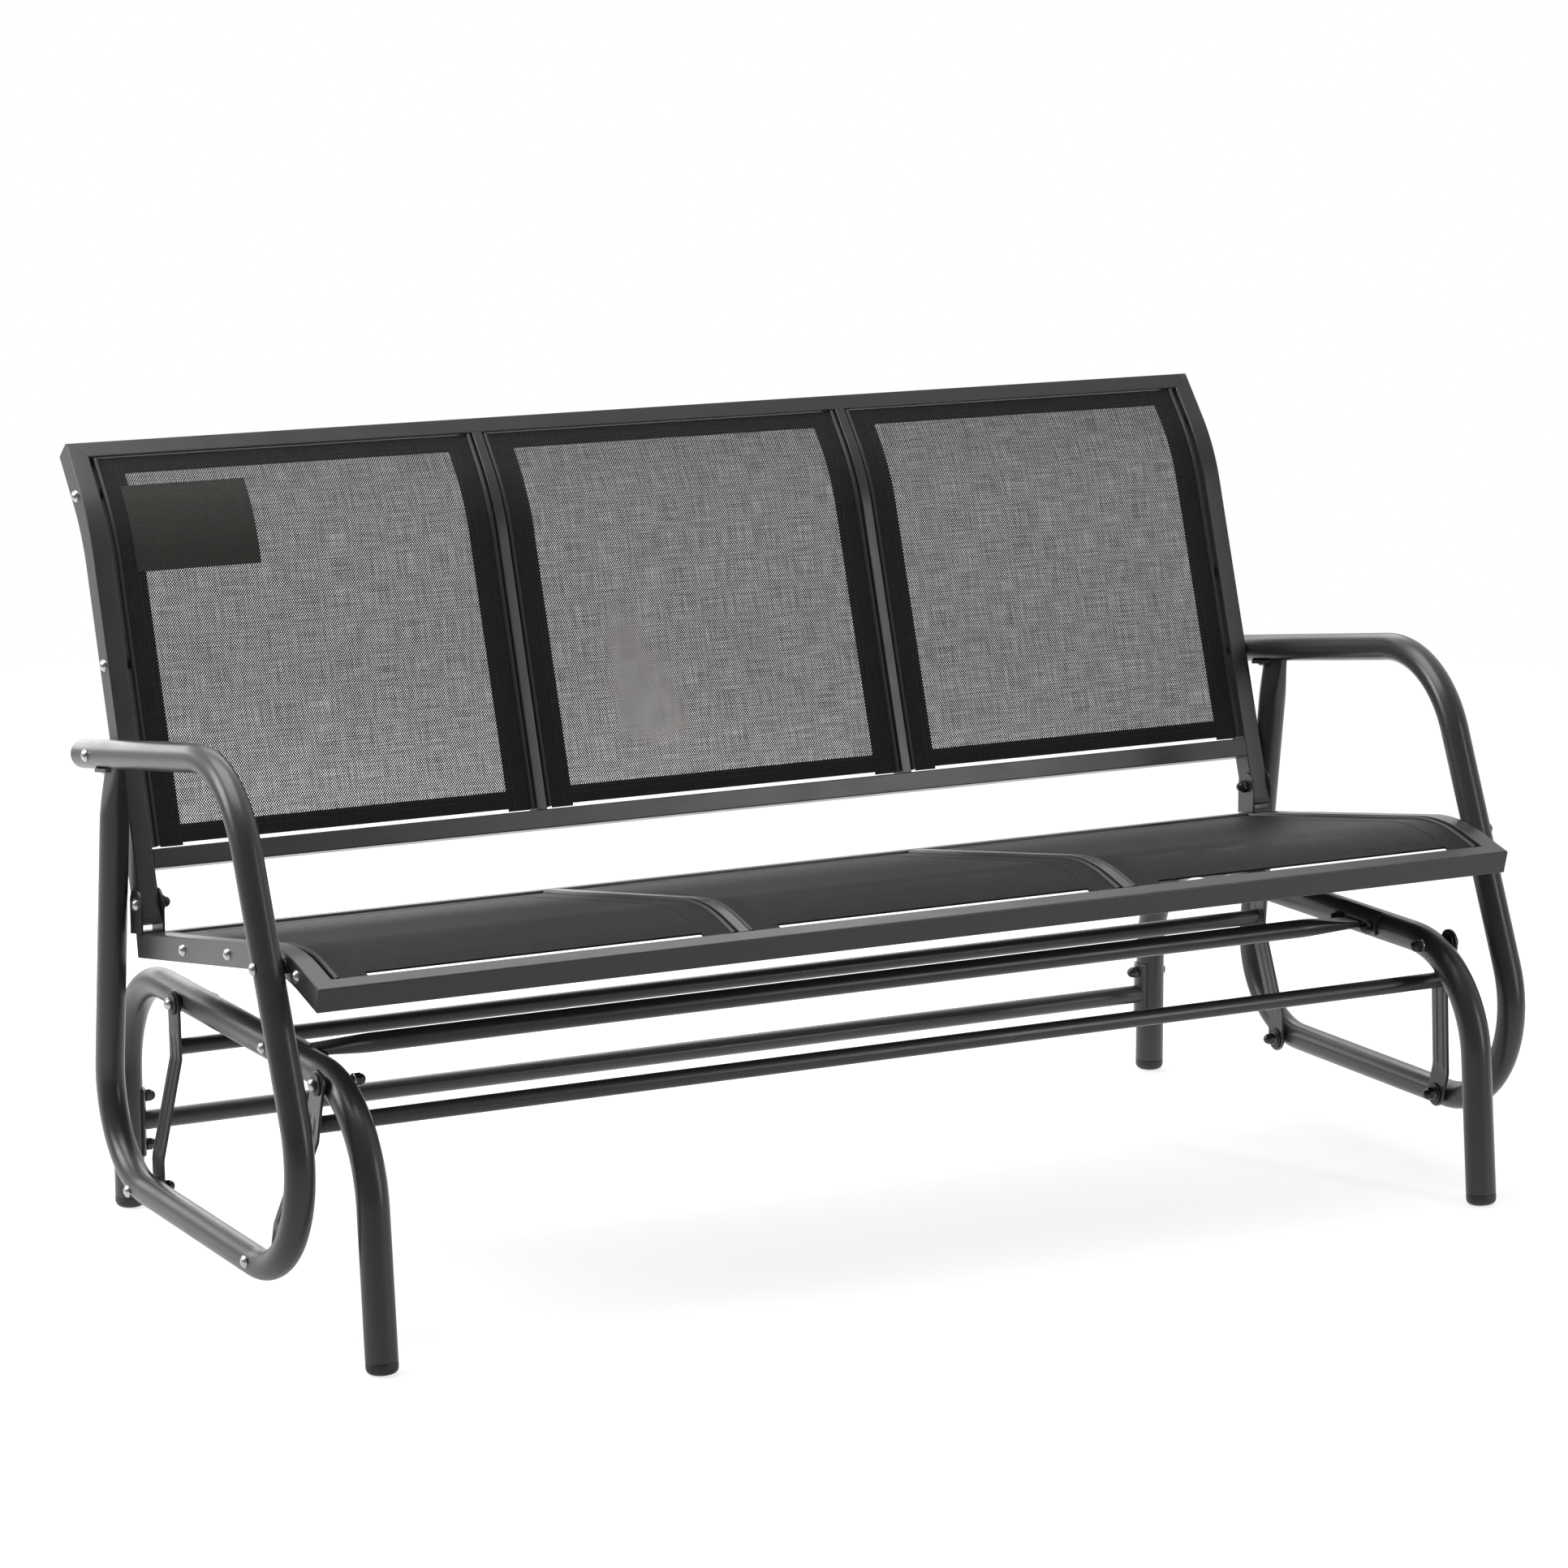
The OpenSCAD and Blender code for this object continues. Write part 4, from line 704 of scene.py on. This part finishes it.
seat_from, seat_to = 28.0, seat_line.length - 31.5
back_from, back_to = 77.5, back_line.length - 20.5
panels = (("left", -688.5, -247.5), ("centre", -220.5, 220.5), ("right", 247.5, 688.5))
for tag, x0, x1 in panels:
    sling("seat_" + tag, seat_line, x0, x1, seat_from, seat_to, "seat_sling_" + tag,
          seat_lit_mesh_cloth, seat_lit_hem_cloth, SEAT_HEM, (0, 10.8))
    sling("back_" + tag, back_line, x0, x1, back_from, back_to, "back_sling_" + tag,
          mesh_cloth, hem_cloth, BACK_HEM, (3.2, 0))

# %% [markdown]
# A bare cloth patch is sewn to the face of the left back sling. It carries nothing, so it only gets
# its own close weave here, and its seams with the other stitches.

# %% Bare patch
PATCH_X0, PATCH_X1, PATCH_H = -672.5, -527.5, 102.0
PATCH_SET = SLING_SET - 0.85
patch_top = back_to - END_HEM - 18
patch = cloth_grid("bare_patch", back_line, steps_between(PATCH_X0, PATCH_X1, 12),
                   back_line.stops(patch_top - PATCH_H, patch_top, 16, 14),
                   PATCH_SET, SHEET_T, patch_cloth, False)
dress(patch, "seat", "patch_cloth", "back_patch")
print("bare patch of %.0f x %.0f mm" % (PATCH_X1 - PATCH_X0, PATCH_H))

# %% [markdown]
# ## Links
# A link is a pressed steel strip with round ends, bent out twice on its way down, with two long
# grooves that stiffen it. It starts as a grid: each row is as wide as the round ended outline
# allows, each point is pushed sideways by the two bends and by the grooves, and Solidify and
# Bevel give it its thickness and its softened edges.

# %% Links
LINK_HALF, LINK_T = 15.0, 3.0
TOP_LINK_IN, JOGGLE, JOGGLE_START, JOGGLE_STOP = 693.0, 25.0, 60.0, 168.0
GROOVE_START, GROOVE_STOP, GROOVE_OFF, GROOVE_HALF, GROOVE_DEEP = 34, 166, 6, 2.4, 1.2
LINK_PAIRS = (("front_link", "front_swing", front_top, FRONT_LEAN),
              ("rear_link", "rear_swing", rear_top, REAR_LEAN))


def link_mesh_points(lean, pivot, sign):
    """Rows of points on a link's outer face, with the two grooves pressed in."""
    rows = []
    half_row = [1.6, 2.6, 3.6, 4.6, 6, 7.4, 8.4, 9.4, 10.4, 12, 14, LINK_HALF]
    offsets = [-o for o in reversed(half_row)] + [0] + half_row
    round_end = [6, 9.6, 12, 13.6, 14.6, LINK_HALF]
    lengths = [-s for s in reversed(round_end)] + [i * 5.0 for i in range(41)]
    lengths += [LINK_LEN + s for s in round_end]
    turn = Matrix.Rotation(math.radians(lean), 2)
    for s in lengths:
        cap = max(-s, s - LINK_LEN, 0)
        half = math.sqrt(max(LINK_HALF ** 2 - cap ** 2, 0.04))
        row = []
        for o in offsets:
            y = o * half / LINK_HALF
            bend = max(0.0, min(1.0, (s - JOGGLE_START) / (JOGGLE_STOP - JOGGLE_START)))
            x = TOP_LINK_IN + LINK_T + JOGGLE * bend
            ends = smooth_ramp((s - GROOVE_START) / 5) * smooth_ramp((GROOVE_STOP - s) / 5)
            groove = max(0.0, 1 - ((abs(y) - GROOVE_OFF) / GROOVE_HALF) ** 2)
            x -= GROOVE_DEEP * groove * ends
            local = turn @ Vector((y, -s))
            row.append((sign * x, pivot[0] + local[0], pivot[1] + local[1]))
        rows.append(row)
    return rows


for name, body, pivot, lean in LINK_PAIRS:
    for side, sign in SIDES:
        rows = link_mesh_points(lean, pivot, sign)
        strip = piece(name + "_strip_" + side, [p for row in rows for p in row],
                      grid_faces(len(rows[0]), len(rows)), powder_coat)
        if sign * sum(p.normal[0] for p in strip.data.polygons) < 0:
            strip.data.flip_normals()
        wall = strip.modifiers.new("sheet", "SOLIDIFY")
        wall.thickness, wall.offset = LINK_T * MM, -1
        edge = strip.modifiers.new("edge", "BEVEL")
        edge.width, edge.segments, edge.limit_method = 0.5 * MM, 2, "ANGLE"
        edge.angle_limit = math.radians(50)
        edge.harden_normals = True
        dress(strip, body, "frame_steel", name + "_" + side)

# %% [markdown]
# A round bar is welded between each pair of links, and the weld stands round its ends as a
# rippled bead. The ripple is a small wave in the bead's radius.


# %% Link crossbars with weld beads
LINK_BAR_AT, LINK_BAR_R = 48, 9.0


def x_ring(x, y, z, r, sides=32):
    return [(x, y + a, z + b) for a, b in oblong(r, r, sides=sides)]


def weld_bead(x, y, z, r, fat, lean, points, faces, sides=72, lumps=18):
    """A rippled ring round a bar of radius r, on the side of the face at x that lean says."""
    rings = []
    for i in range(sides):
        a = 2 * math.pi * i / sides
        f = fat * (1 + 0.16 * math.sin(lumps * a) + 0.07 * math.sin(5 * a + x))
        ring = []
        for k in range(6):
            t = math.pi / 2 * k / 5
            ring.append((x + lean * f * (1 - math.sin(t)), r + f * (1 - math.cos(t))))
        ring.append((x - lean * 0.3, r - 0.3))
        rings.append([(px, y + pr * math.cos(a), z + pr * math.sin(a)) for px, pr in ring])
    skin(rings, points, faces, closed=True)


for name, body, pivot, lean in LINK_PAIRS:
    at = pivot + LINK_BAR_AT * ray(-90 + lean)
    points, faces = skin([x_ring(x, *at, LINK_BAR_R) for x in (-TOP_LINK_IN, TOP_LINK_IN)])
    for sign in (-1, 1):
        weld_bead(sign * TOP_LINK_IN, *at, LINK_BAR_R, 2.6, -sign, points, faces)
    dress(piece(name + "_bar", points, faces, powder_coat), body, "frame_steel", name + "_crossbar")

# %% [markdown]
# ## Base crossbars and their saddles
# The two crossbars of the base are round tubes with curved saddle plates at their ends. The front
# one's ends are pressed flat: its rings change from a circle to a flat oblong towards each end,
# like the crimp of the arm loop. The rear one stays round and meets its plates with a hollow end.


# %% Base crossbars
def on_rear_leg(h):
    return base_line[3] + h / BASE_H * (base_line[2] - base_line[3])


REAR_BAR_H = 97
rear_bar, front_bar = on_rear_leg(REAR_BAR_H), Vector((-130, BASE_H))
FRONT_BAR_R, REAR_BAR_R, SADDLE_IN, SADDLE_OUT = 10.5, 11.0, 17.1, 20.1


def squashed_rings(at, r):
    """Rings along x, round in the middle and flat at both ends."""
    rings = []
    flat, thin = math.pi * r / 2, 4.5
    reach = BASE_X - SADDLE_OUT + 1.2
    for x in [reach, reach - 6] + [reach - 6 - 6 * i for i in range(1, 13)]:
        t = smooth_ramp((x - (reach - 78)) / 72)
        a, b, power = r + (flat - r) * t, r + (thin - r) * t, 2 + 2.6 * t
        rings.append([(x, at[0] + u, at[1] + v) for u, v in oblong(a, b, power)])
    return [[(-x, y, z) for x, y, z in ring] for ring in rings] + list(reversed(rings))


def hollow_end(at, r, sign):
    """A ring at a bar's end that follows the round saddle plate."""
    return [(sign * (BASE_X - math.sqrt(SADDLE_OUT ** 2 - y ** 2)), at[0] + y, at[1] + z)
            for y, z in oblong(r, r)]


for name, node, rings in (
        ("base_bar_front", "base_front_crossbar", squashed_rings(front_bar, FRONT_BAR_R)),
        ("base_bar_rear", "base_rear_crossbar",
         [hollow_end(rear_bar, REAR_BAR_R, sign) for sign in (-1, 1)])):
    dress(piece(name, *skin(rings), powder_coat), "base", "frame_steel", node)


def saddle_rings(centre, tilt, facing, length):
    """A curved plate round the base tube over 90 degrees, as rings along the tube."""
    angles = [facing - 45 + 9 * i for i in range(11)]
    outline = [(SADDLE_IN, a) for a in angles] + [(SADDLE_OUT, a) for a in reversed(angles)]
    along = ray(tilt)
    rings = []
    for t, inset in ((-0.5, 0.6), (-0.49, 0), (0.49, 0), (0.5, 0.6)):
        ring = []
        for r, a in outline:
            rr = r + (inset if r == SADDLE_IN else -inset)
            u, v = rr * math.cos(math.radians(a)), rr * math.sin(math.radians(a))
            off = ray(tilt + 90) * v + along * (t * length)
            ring.append((BASE_X + u, centre[0] + off[0], centre[1] + off[1]))
        rings.append(ring)
    return rings


for name, at, tilt, facing, length in (("front", front_bar, 0, 180 - 19, 82),
                                       ("rear", rear_bar, rear_leg, 180, 77)):
    plates = piece(name + "_saddle_pair", *mirrored(*skin(saddle_rings(at, tilt, facing, length))),
                   powder_coat)
    dress(plates, "base", "frame_steel", name + "_saddle_plates")

# %% [markdown]
# ## Fasteners
# Some fifty bolts, screws and cap nuts are a few turned shapes over and over, so each shape is
# made once, and a Geometry Nodes tree sets a copy on every point of a small cloud. Each point
# carries its own turn, so the cross recesses don't all stand the same way.


# %% Fastener tree
def scatter_tree(name, shape, material):
    """A tree that puts one copy of a shape on every point, turned by the point's own angles."""
    tree = bpy.data.node_groups.new(name, "GeometryNodeTree")
    tree.interface.new_socket("Geometry", in_out="INPUT", socket_type="NodeSocketGeometry")
    scale = tree.interface.new_socket("Copy scale", in_out="INPUT", socket_type="NodeSocketFloat")
    scale.default_value = 1.0
    tree.interface.new_socket("Geometry", in_out="OUTPUT", socket_type="NodeSocketGeometry")
    start = add(tree, "NodeGroupInput")
    original = add(tree, "GeometryNodeObjectInfo", sockets={"Object": shape, "As Instance": True})
    angles = add(tree, "GeometryNodeInputNamedAttribute", data_type="FLOAT_VECTOR",
                 sockets={"Name": "angles"})
    turned = add(tree, "FunctionNodeEulerToRotation", sockets={0: angles.outputs[0]})
    copies = add(tree, "GeometryNodeInstanceOnPoints", sockets={
        "Points": start.outputs[0], "Instance": original.outputs["Geometry"],
        "Rotation": turned.outputs[0], "Scale": start.outputs["Copy scale"]})
    real = add(tree, "GeometryNodeRealizeInstances", sockets={0: copies.outputs[0]})
    painted = add(tree, "GeometryNodeSetMaterial",
                  sockets={0: real.outputs[0], "Material": material})
    end = add(tree, "NodeGroupOutput")
    tree.links.new(painted.outputs[0], end.inputs[0])
    return tree, scale.identifier


def applied(made):
    """Turns what an object's modifiers make of it into its own mesh."""
    mesh = bpy.data.meshes.new_from_object(
        made.evaluated_get(bpy.context.evaluated_depsgraph_get()))
    made.modifiers.clear()
    made.data = mesh
    return mesh


def scattered(name, shape, material, spots, crease=35):
    """A plain mesh with a copy of shape at each (point in mm, euler angles)."""
    cloud = bpy.data.meshes.new(name + "_cloud")
    cloud.from_pydata([tuple(c * MM for c in p) for p, _ in spots], [], [])
    turns = cloud.attributes.new("angles", "FLOAT_VECTOR", "POINT")
    for item, (_, angles) in zip(turns.data, spots):
        item.vector = angles
    made = placed(name, cloud)
    tree, scale_id = scatter_tree(name + "_tree", shape, material)
    repeat = made.modifiers.new("copies", "NODES")
    repeat.node_group = tree
    repeat[scale_id] = 1.0
    solid = applied(made)
    solid.shade_smooth()
    solid.set_sharp_from_angle(angle=math.radians(crease))
    return made


def spun(outline, sides):
    """Rings round the x axis from (x, radius) pairs in mm."""
    return [x_ring(x, 0, 0, r, sides) for x, r in outline]


def cut_by(shape, cutter):
    """The shape with the cutter taken out of it."""
    hollow = shape.modifiers.new("cut", "BOOLEAN")
    hollow.object, hollow.operation, hollow.solver = cutter, "DIFFERENCE", "EXACT"
    applied(shape)
    bpy.data.objects.remove(cutter)
    return shape


# %% [markdown]
# A bolt here has a domed head of 14 mm with a cross recess. Two tapered bars cut the recess into
# the shape before it is copied.

# %% Bolt and nut shapes
HEAD_R, HEAD_H = 7.0, 4.5
DOME_R = (HEAD_R ** 2 + HEAD_H ** 2) / (2 * HEAD_H)
THIN = 0.02


def head_outline(tip, r):
    """From the tip of the shank to the top of the domed head, with the seat at x = 0."""
    rim = [(tip, r - 0.8), (tip + 0.8, r), (-0.3, r), (0.0, 6.6), (0.15, 6.9)]
    for i in range(1, 9):
        a = math.asin(HEAD_R / DOME_R) * (1 - i / 8)
        rim.append((HEAD_H - DOME_R + DOME_R * math.cos(a), max(DOME_R * math.sin(a), THIN)))
    return rim


def cross_cutter():
    points, faces = [], []
    for a, b in ((2.9, 0.75), (0.75, 2.9)):
        rings = []
        for x, grow in ((1.9, 0.45), (6.0, 1.15)):
            rings.append([(x, sy * a * (grow if a > b else 1), sz * b * (grow if b > a else 1))
                          for sy, sz in ((1, 1), (-1, 1), (-1, -1), (1, -1))])
        skin(rings, points, faces)
    return piece("cross_cutter", points, faces, bright_zinc)


def make_bolt(name, tip, r):
    blank = piece(name, *skin(spun(head_outline(tip, r), 32)), bright_zinc)
    return cut_by(blank, cross_cutter())


nut_points, nut_faces = [], []
hexagon = [ray(60 * i + 30) for i in range(6)]
skin([[(x, r * a, r * b) for a, b in hexagon]
      for x, r in ((0.0, 7.1), (-0.5, 7.5), (-6.0, 7.5), (-6.5, 7.0))], nut_points, nut_faces)
dome = [(-6.3, 6.3)]
for a, b in (ray(angle) for angle in range(0, 91, 10)):
    dome.append((-6.5 - 6.1 * b, max(6.1 * a, THIN)))
skin(spun(dome, 28), nut_points, nut_faces)
nut_shape = piece("nut_shape", nut_points, nut_faces, black_nut_coat)

# %% [markdown]
# Where each kind sits comes from the same lines as the rails: the screws of the side rails stand
# in the middle of the rail's depth, and the pivots at the links' ends. A row below names a kind
# and its solid, then the tip and the radius of its shank, how far from the bench's middle its
# seat lies, and its spots in the side view.

# %% Set the fasteners
seat_screws = [138, 268, seat_line.first + seat_line.arc - 6]
back_screws = [279, back_line.first + back_line.arc + 3]
saddle_spots = [Vector((-160, BASE_H)), Vector((-100, BASE_H)),
                on_rear_leg(REAR_BAR_H - 28), on_rear_leg(REAR_BAR_H + 28)]
leg_h = seat_line.at(seat_line.first + seat_line.arc / 2, 13.5)[1]
leg_bolt = Vector((arm_line[1][0] + (leg_h - arm_line[1][1]) * (arm_line[2][0] - arm_line[1][0])
                   / (arm_line[2][1] - arm_line[1][1]), leg_h))
mid_back, mid_up = back_line.at(0, 14), ray(back_line.aim)
arm_way = ray(heading(arm_line[0], arm_line[1]))
cross_t = ((mid_back[0] - arm_end[0]) * mid_up[1] - (mid_back[1] - arm_end[1]) * mid_up[0]) / (
    arm_way[0] * mid_up[1] - arm_way[1] * mid_up[0])
rest_bolt = arm_end + cross_t * arm_way
bracket_bolt = back_line.at(16, 10)
top_pivots, low_pivots = [front_top, rear_top], [front_low, rear_low]
arm_ends = [leg_bolt, rest_bolt]
print("arm bolts at", leg_bolt[:], rest_bolt[:])


def both_ends(x, spots, seed):
    """The same spots on the right side and, turned half round, on the left."""
    placed = []
    for k, spot in enumerate(spots):
        for sign in (1, -1):
            spin = (seed * 1.7 + k * 2.3 + sign * 0.8) % 6.28
            placed.append(((sign * x, spot[0], spot[1]), (spin, 0, 0 if sign > 0 else math.pi)))
    return placed


bolt_kinds = (
    ("base_bolt_set", "base_bolts", "base", -44.6, 4.0, BASE_OUT, saddle_spots),
    ("upper_pivot_bolt_set", "upper_pivot_bolts", "base", -54.1, 4.0, 701.1, top_pivots),
    ("lower_pivot_bolt_set", "lower_pivot_bolts", "seat", -49.1, 4.0, ARM_OUT, low_pivots),
    ("arm_bolt_set", "arm_bolts", "seat", -65.0, 4.0, ARM_OUT, arm_ends),
    ("bracket_bolt_set", "bracket_bolts", "seat", -34.9, 4.0, 723.7, [bracket_bolt]),
    ("rail_screw_set", "rail_screws", "seat", -30.0, 3.0, FRAME_X,
     [seat_line.at(s, 13.5) for s in seat_screws] + [back_line.at(s, 14) for s in back_screws]))
for seed, (name, node, body, tip, r, x, spots) in enumerate(bolt_kinds):
    shape = make_bolt(name + "_shape", tip, r)
    bolts = scattered(name, shape, bright_zinc, both_ends(x, spots, seed))
    bpy.data.objects.remove(shape)
    dress(bolts, body, "bright_steel", node)

nut_kinds = (("base_nut_set", "base_cap_nuts", "base", 652.9, saddle_spots),
             ("upper_pivot_nut_set", "upper_pivot_cap_nuts", "base", 654.5, top_pivots),
             ("lower_pivot_nut_set", "lower_pivot_cap_nuts", "seat", 714.4, low_pivots),
             ("bracket_nut_set", "bracket_cap_nuts", "seat", 696.3, [bracket_bolt]))
for seed, (name, node, body, x, spots) in enumerate(nut_kinds):
    nuts = scattered(name, nut_shape, black_nut_coat, both_ends(x, spots, seed))
    dress(nuts, body, "black_nut", node)
bpy.data.objects.remove(nut_shape)

# %% [markdown]
# Washers and bushes are rings with a bore. Each is turned once as a closed loop of rings, from
# the outside round through the bore, and then copied like the bolts.


# %% Washers, spacers and bushes
def bored_shape(name, outline, bore):
    """A turned ring from (x, radius) pairs, one face to the other, closed by the bore."""
    loop = outline + [(outline[-1][0], bore), (outline[0][0], bore)]
    return piece(name, *skin(spun(loop, 40), closed=True), black_nylon)


def softened(x0, x1, r, edge=0.35):
    return [(x0, r - edge), (x0 + edge, r), (x1 - edge, r), (x1, r - edge)]


ring_kinds = (
    ("upper_washer_set", "upper_pivot_washers", "base", black_nylon, "black_plastic",
     softened(0, 2.7, 12), BASE_OUT, top_pivots),
    ("upper_bush_set", "upper_pivot_bushes", "base", black_nylon, "black_plastic",
     [(-3.6, 6.0), (0, 6.0), (0, 11.6), (0.4, 12.0), (1.4, 12.0), (1.8, 11.6), (1.9, 7.0),
      (4.4, 7.0), (4.8, 6.6)], 696.3, top_pivots),
    ("upper_inner_washer_set", "upper_pivot_inner_washers", "base", bright_zinc, "bright_steel",
     softened(0, 1.5, 7, 0.2), 654.5, top_pivots),
    ("lower_spacer_set", "lower_pivot_spacers", "seat", black_nylon, "black_plastic",
     softened(0, 2.7, 12), 721.3, low_pivots),
    ("lower_bush_set", "lower_pivot_bushes", "seat", black_nylon, "black_plastic",
     softened(0, 1.8, 12), 715.9, low_pivots),
    ("lower_inner_washer_set", "lower_pivot_inner_washers", "seat", bright_zinc, "bright_steel",
     softened(0, 1.5, 7, 0.2), 714.4, low_pivots),
    ("arm_spacer_set", "arm_bolt_spacers", "seat", black_nylon, "black_plastic",
     softened(0, 3.0, 8), FRAME_X, arm_ends))
for seed, (name, node, body, material, slot, outline, x, spots) in enumerate(ring_kinds):
    shape = bored_shape(name + "_shape", outline, 4.1)
    rings = scattered(name, shape, material, both_ends(x, spots, seed))
    bpy.data.objects.remove(shape)
    dress(rings, body, slot, node)

# %% [markdown]
# Two rows of stitches hold each hem. A stitch is a short thread with round ends, copied about
# every 3 mm along the rows, with a little unevenness, as a sewing machine leaves it.

# %% Stitches
STITCH_PITCH, STITCH_ROWS = 3.2, (2.6, 8.2)


def along_x(x, y, z):
    """The turn that lays a shape's x axis along a direction."""
    return tuple(Vector((x, y, z)).to_track_quat("X", "Z").to_euler())


def stitch_spots(line, x0, x1, s0, s1, hem_w):
    """Places and turns of the stitches of one sling: two rows inside each of its four hems."""
    spots = []
    for inset in STITCH_ROWS:
        a, b = s0 + END_HEM - inset, s1 - END_HEM + inset
        for x in (x0 + hem_w - inset, x1 - hem_w + inset):
            count = int((s1 - s0 - 6) / STITCH_PITCH)
            for k in range(count):
                s = s0 + 3 + k * STITCH_PITCH
                y, z = line.at(s, SLING_SET)
                aim = ray(line.way(s) + 1.5 * math.sin(k * 2.4))
                spots.append(((x + 0.12 * math.sin(k * 1.3), y, z),
                              along_x(0.04 * math.sin(k * 1.7), *aim)))
        for s in (a, b):
            count = int((x1 - x0 - 2 * hem_w) / STITCH_PITCH)
            for k in range(count):
                y, z = line.at(s + 0.1 * math.sin(k * 1.9), SLING_SET)
                x = x0 + hem_w + (k + 0.5) * STITCH_PITCH
                spots.append(((x, y, z), (0, 0, 0.03 * math.sin(k * 1.1))))
    return spots


def patch_stitches():
    """One row of stitches along each edge of the patch, and a second one along its outer edge."""
    low, high, depth = patch_top - PATCH_H + 2, patch_top - 2, PATCH_SET + 0.2
    spots = []
    for x in (PATCH_X0 + 2, PATCH_X0 + 9, PATCH_X1 - 2):
        for k in range(int((high - low) / STITCH_PITCH)):
            s = low + (k + 0.5) * STITCH_PITCH
            spots.append(((x, *back_line.at(s, depth)), along_x(0, *ray(back_line.way(s)))))
    for s in (low, high):
        for k in range(int((PATCH_X1 - PATCH_X0 - 6) / STITCH_PITCH)):
            spots.append(((PATCH_X0 + 4 + k * STITCH_PITCH, *back_line.at(s, depth)), (0, 0, 0)))
    return spots


thread = spun([(-1.3, 0.15), (-0.95, 0.40), (0.95, 0.40), (1.3, 0.15)], 6)
stitch = piece("stitch_shape", *skin(thread), seam_thread)
for name, line, s0, s1, hem_w in (("seat", seat_line, seat_from, seat_to, SEAT_HEM),
                                  ("back", back_line, back_from, back_to, BACK_HEM)):
    spots = [spot for _, x0, x1 in panels for spot in stitch_spots(line, x0, x1, s0, s1, hem_w)]
    spots += patch_stitches() if name == "back" else []
    dress(scattered(name + "_stitches", stitch, seam_thread, spots), "seat", "sling_mesh")
    print("%-22s %d stitches" % (name, len(spots)))
bpy.data.objects.remove(stitch)

# %% [markdown]
# The screw that joins an upright to its armrest stands upright, with its head below the flange,
# and a rounded cap closes the armrest's rear end.

# %% Joint screws and end caps
arm_back = heading(arm_line[1], arm_line[0])
down = ray(arm_back - 90)
screw_at = joint_at + 34 * ray(arm_back) + FLANGE_FACE * down
shape = make_bolt("joint_screw_shape", -9, 3.0)
joint_spots = [((sign * ARM_X, *screw_at), along_x(0, *down)) for sign in (1, -1)]
screws = scattered("joint_screw_set", shape, bright_zinc, joint_spots)
bpy.data.objects.remove(shape)
dress(screws, "seat", "bright_steel", "arm_joint_screws")

cap_outline = [(-6.0, 14.0), (0.0, 14.0), (0.0, 16.0), (0.6, 16.0)] + [
    (12 * math.sin(math.radians(a)), 4 + 12 * math.cos(math.radians(a))) for a in range(10, 91, 10)]
points, faces = skin([tube_ring(ARM_X, arm_end + h * ray(arm_back), arm_back, r, r)
                      for h, r in cap_outline])
caps = piece("arm_cap_pair", *mirrored(points, faces), powder_coat)
dress(caps, "seat", "frame_steel", "arm_end_caps")

# %% [markdown]
# ## Solids that stay
# The brackets, the rail plugs, the sling bar spacers and the divider studs already have their
# real shape in the solid model. They keep it, and only get a finish.

# %% Finish the remaining solids
finish_of = {"frame_steel": powder_coat, "black_plastic": black_nylon, "black_nut": black_nut_coat,
             "bright_steel": bright_zinc, "sling_mesh": mesh_cloth, "patch_cloth": patch_cloth}
slot_of = {row["node"]: row["material_slot"] for row in frame["record"]["subparts"]}
for name, made in frame["nodes"].items():
    material = finish_of[slot_of[name]]
    if not made.data.materials:
        made.data.materials.append(material)
    for slot in made.material_slots:
        slot.material = material
print("finishes set on %d nodes of the solid model" % len(frame["nodes"]))
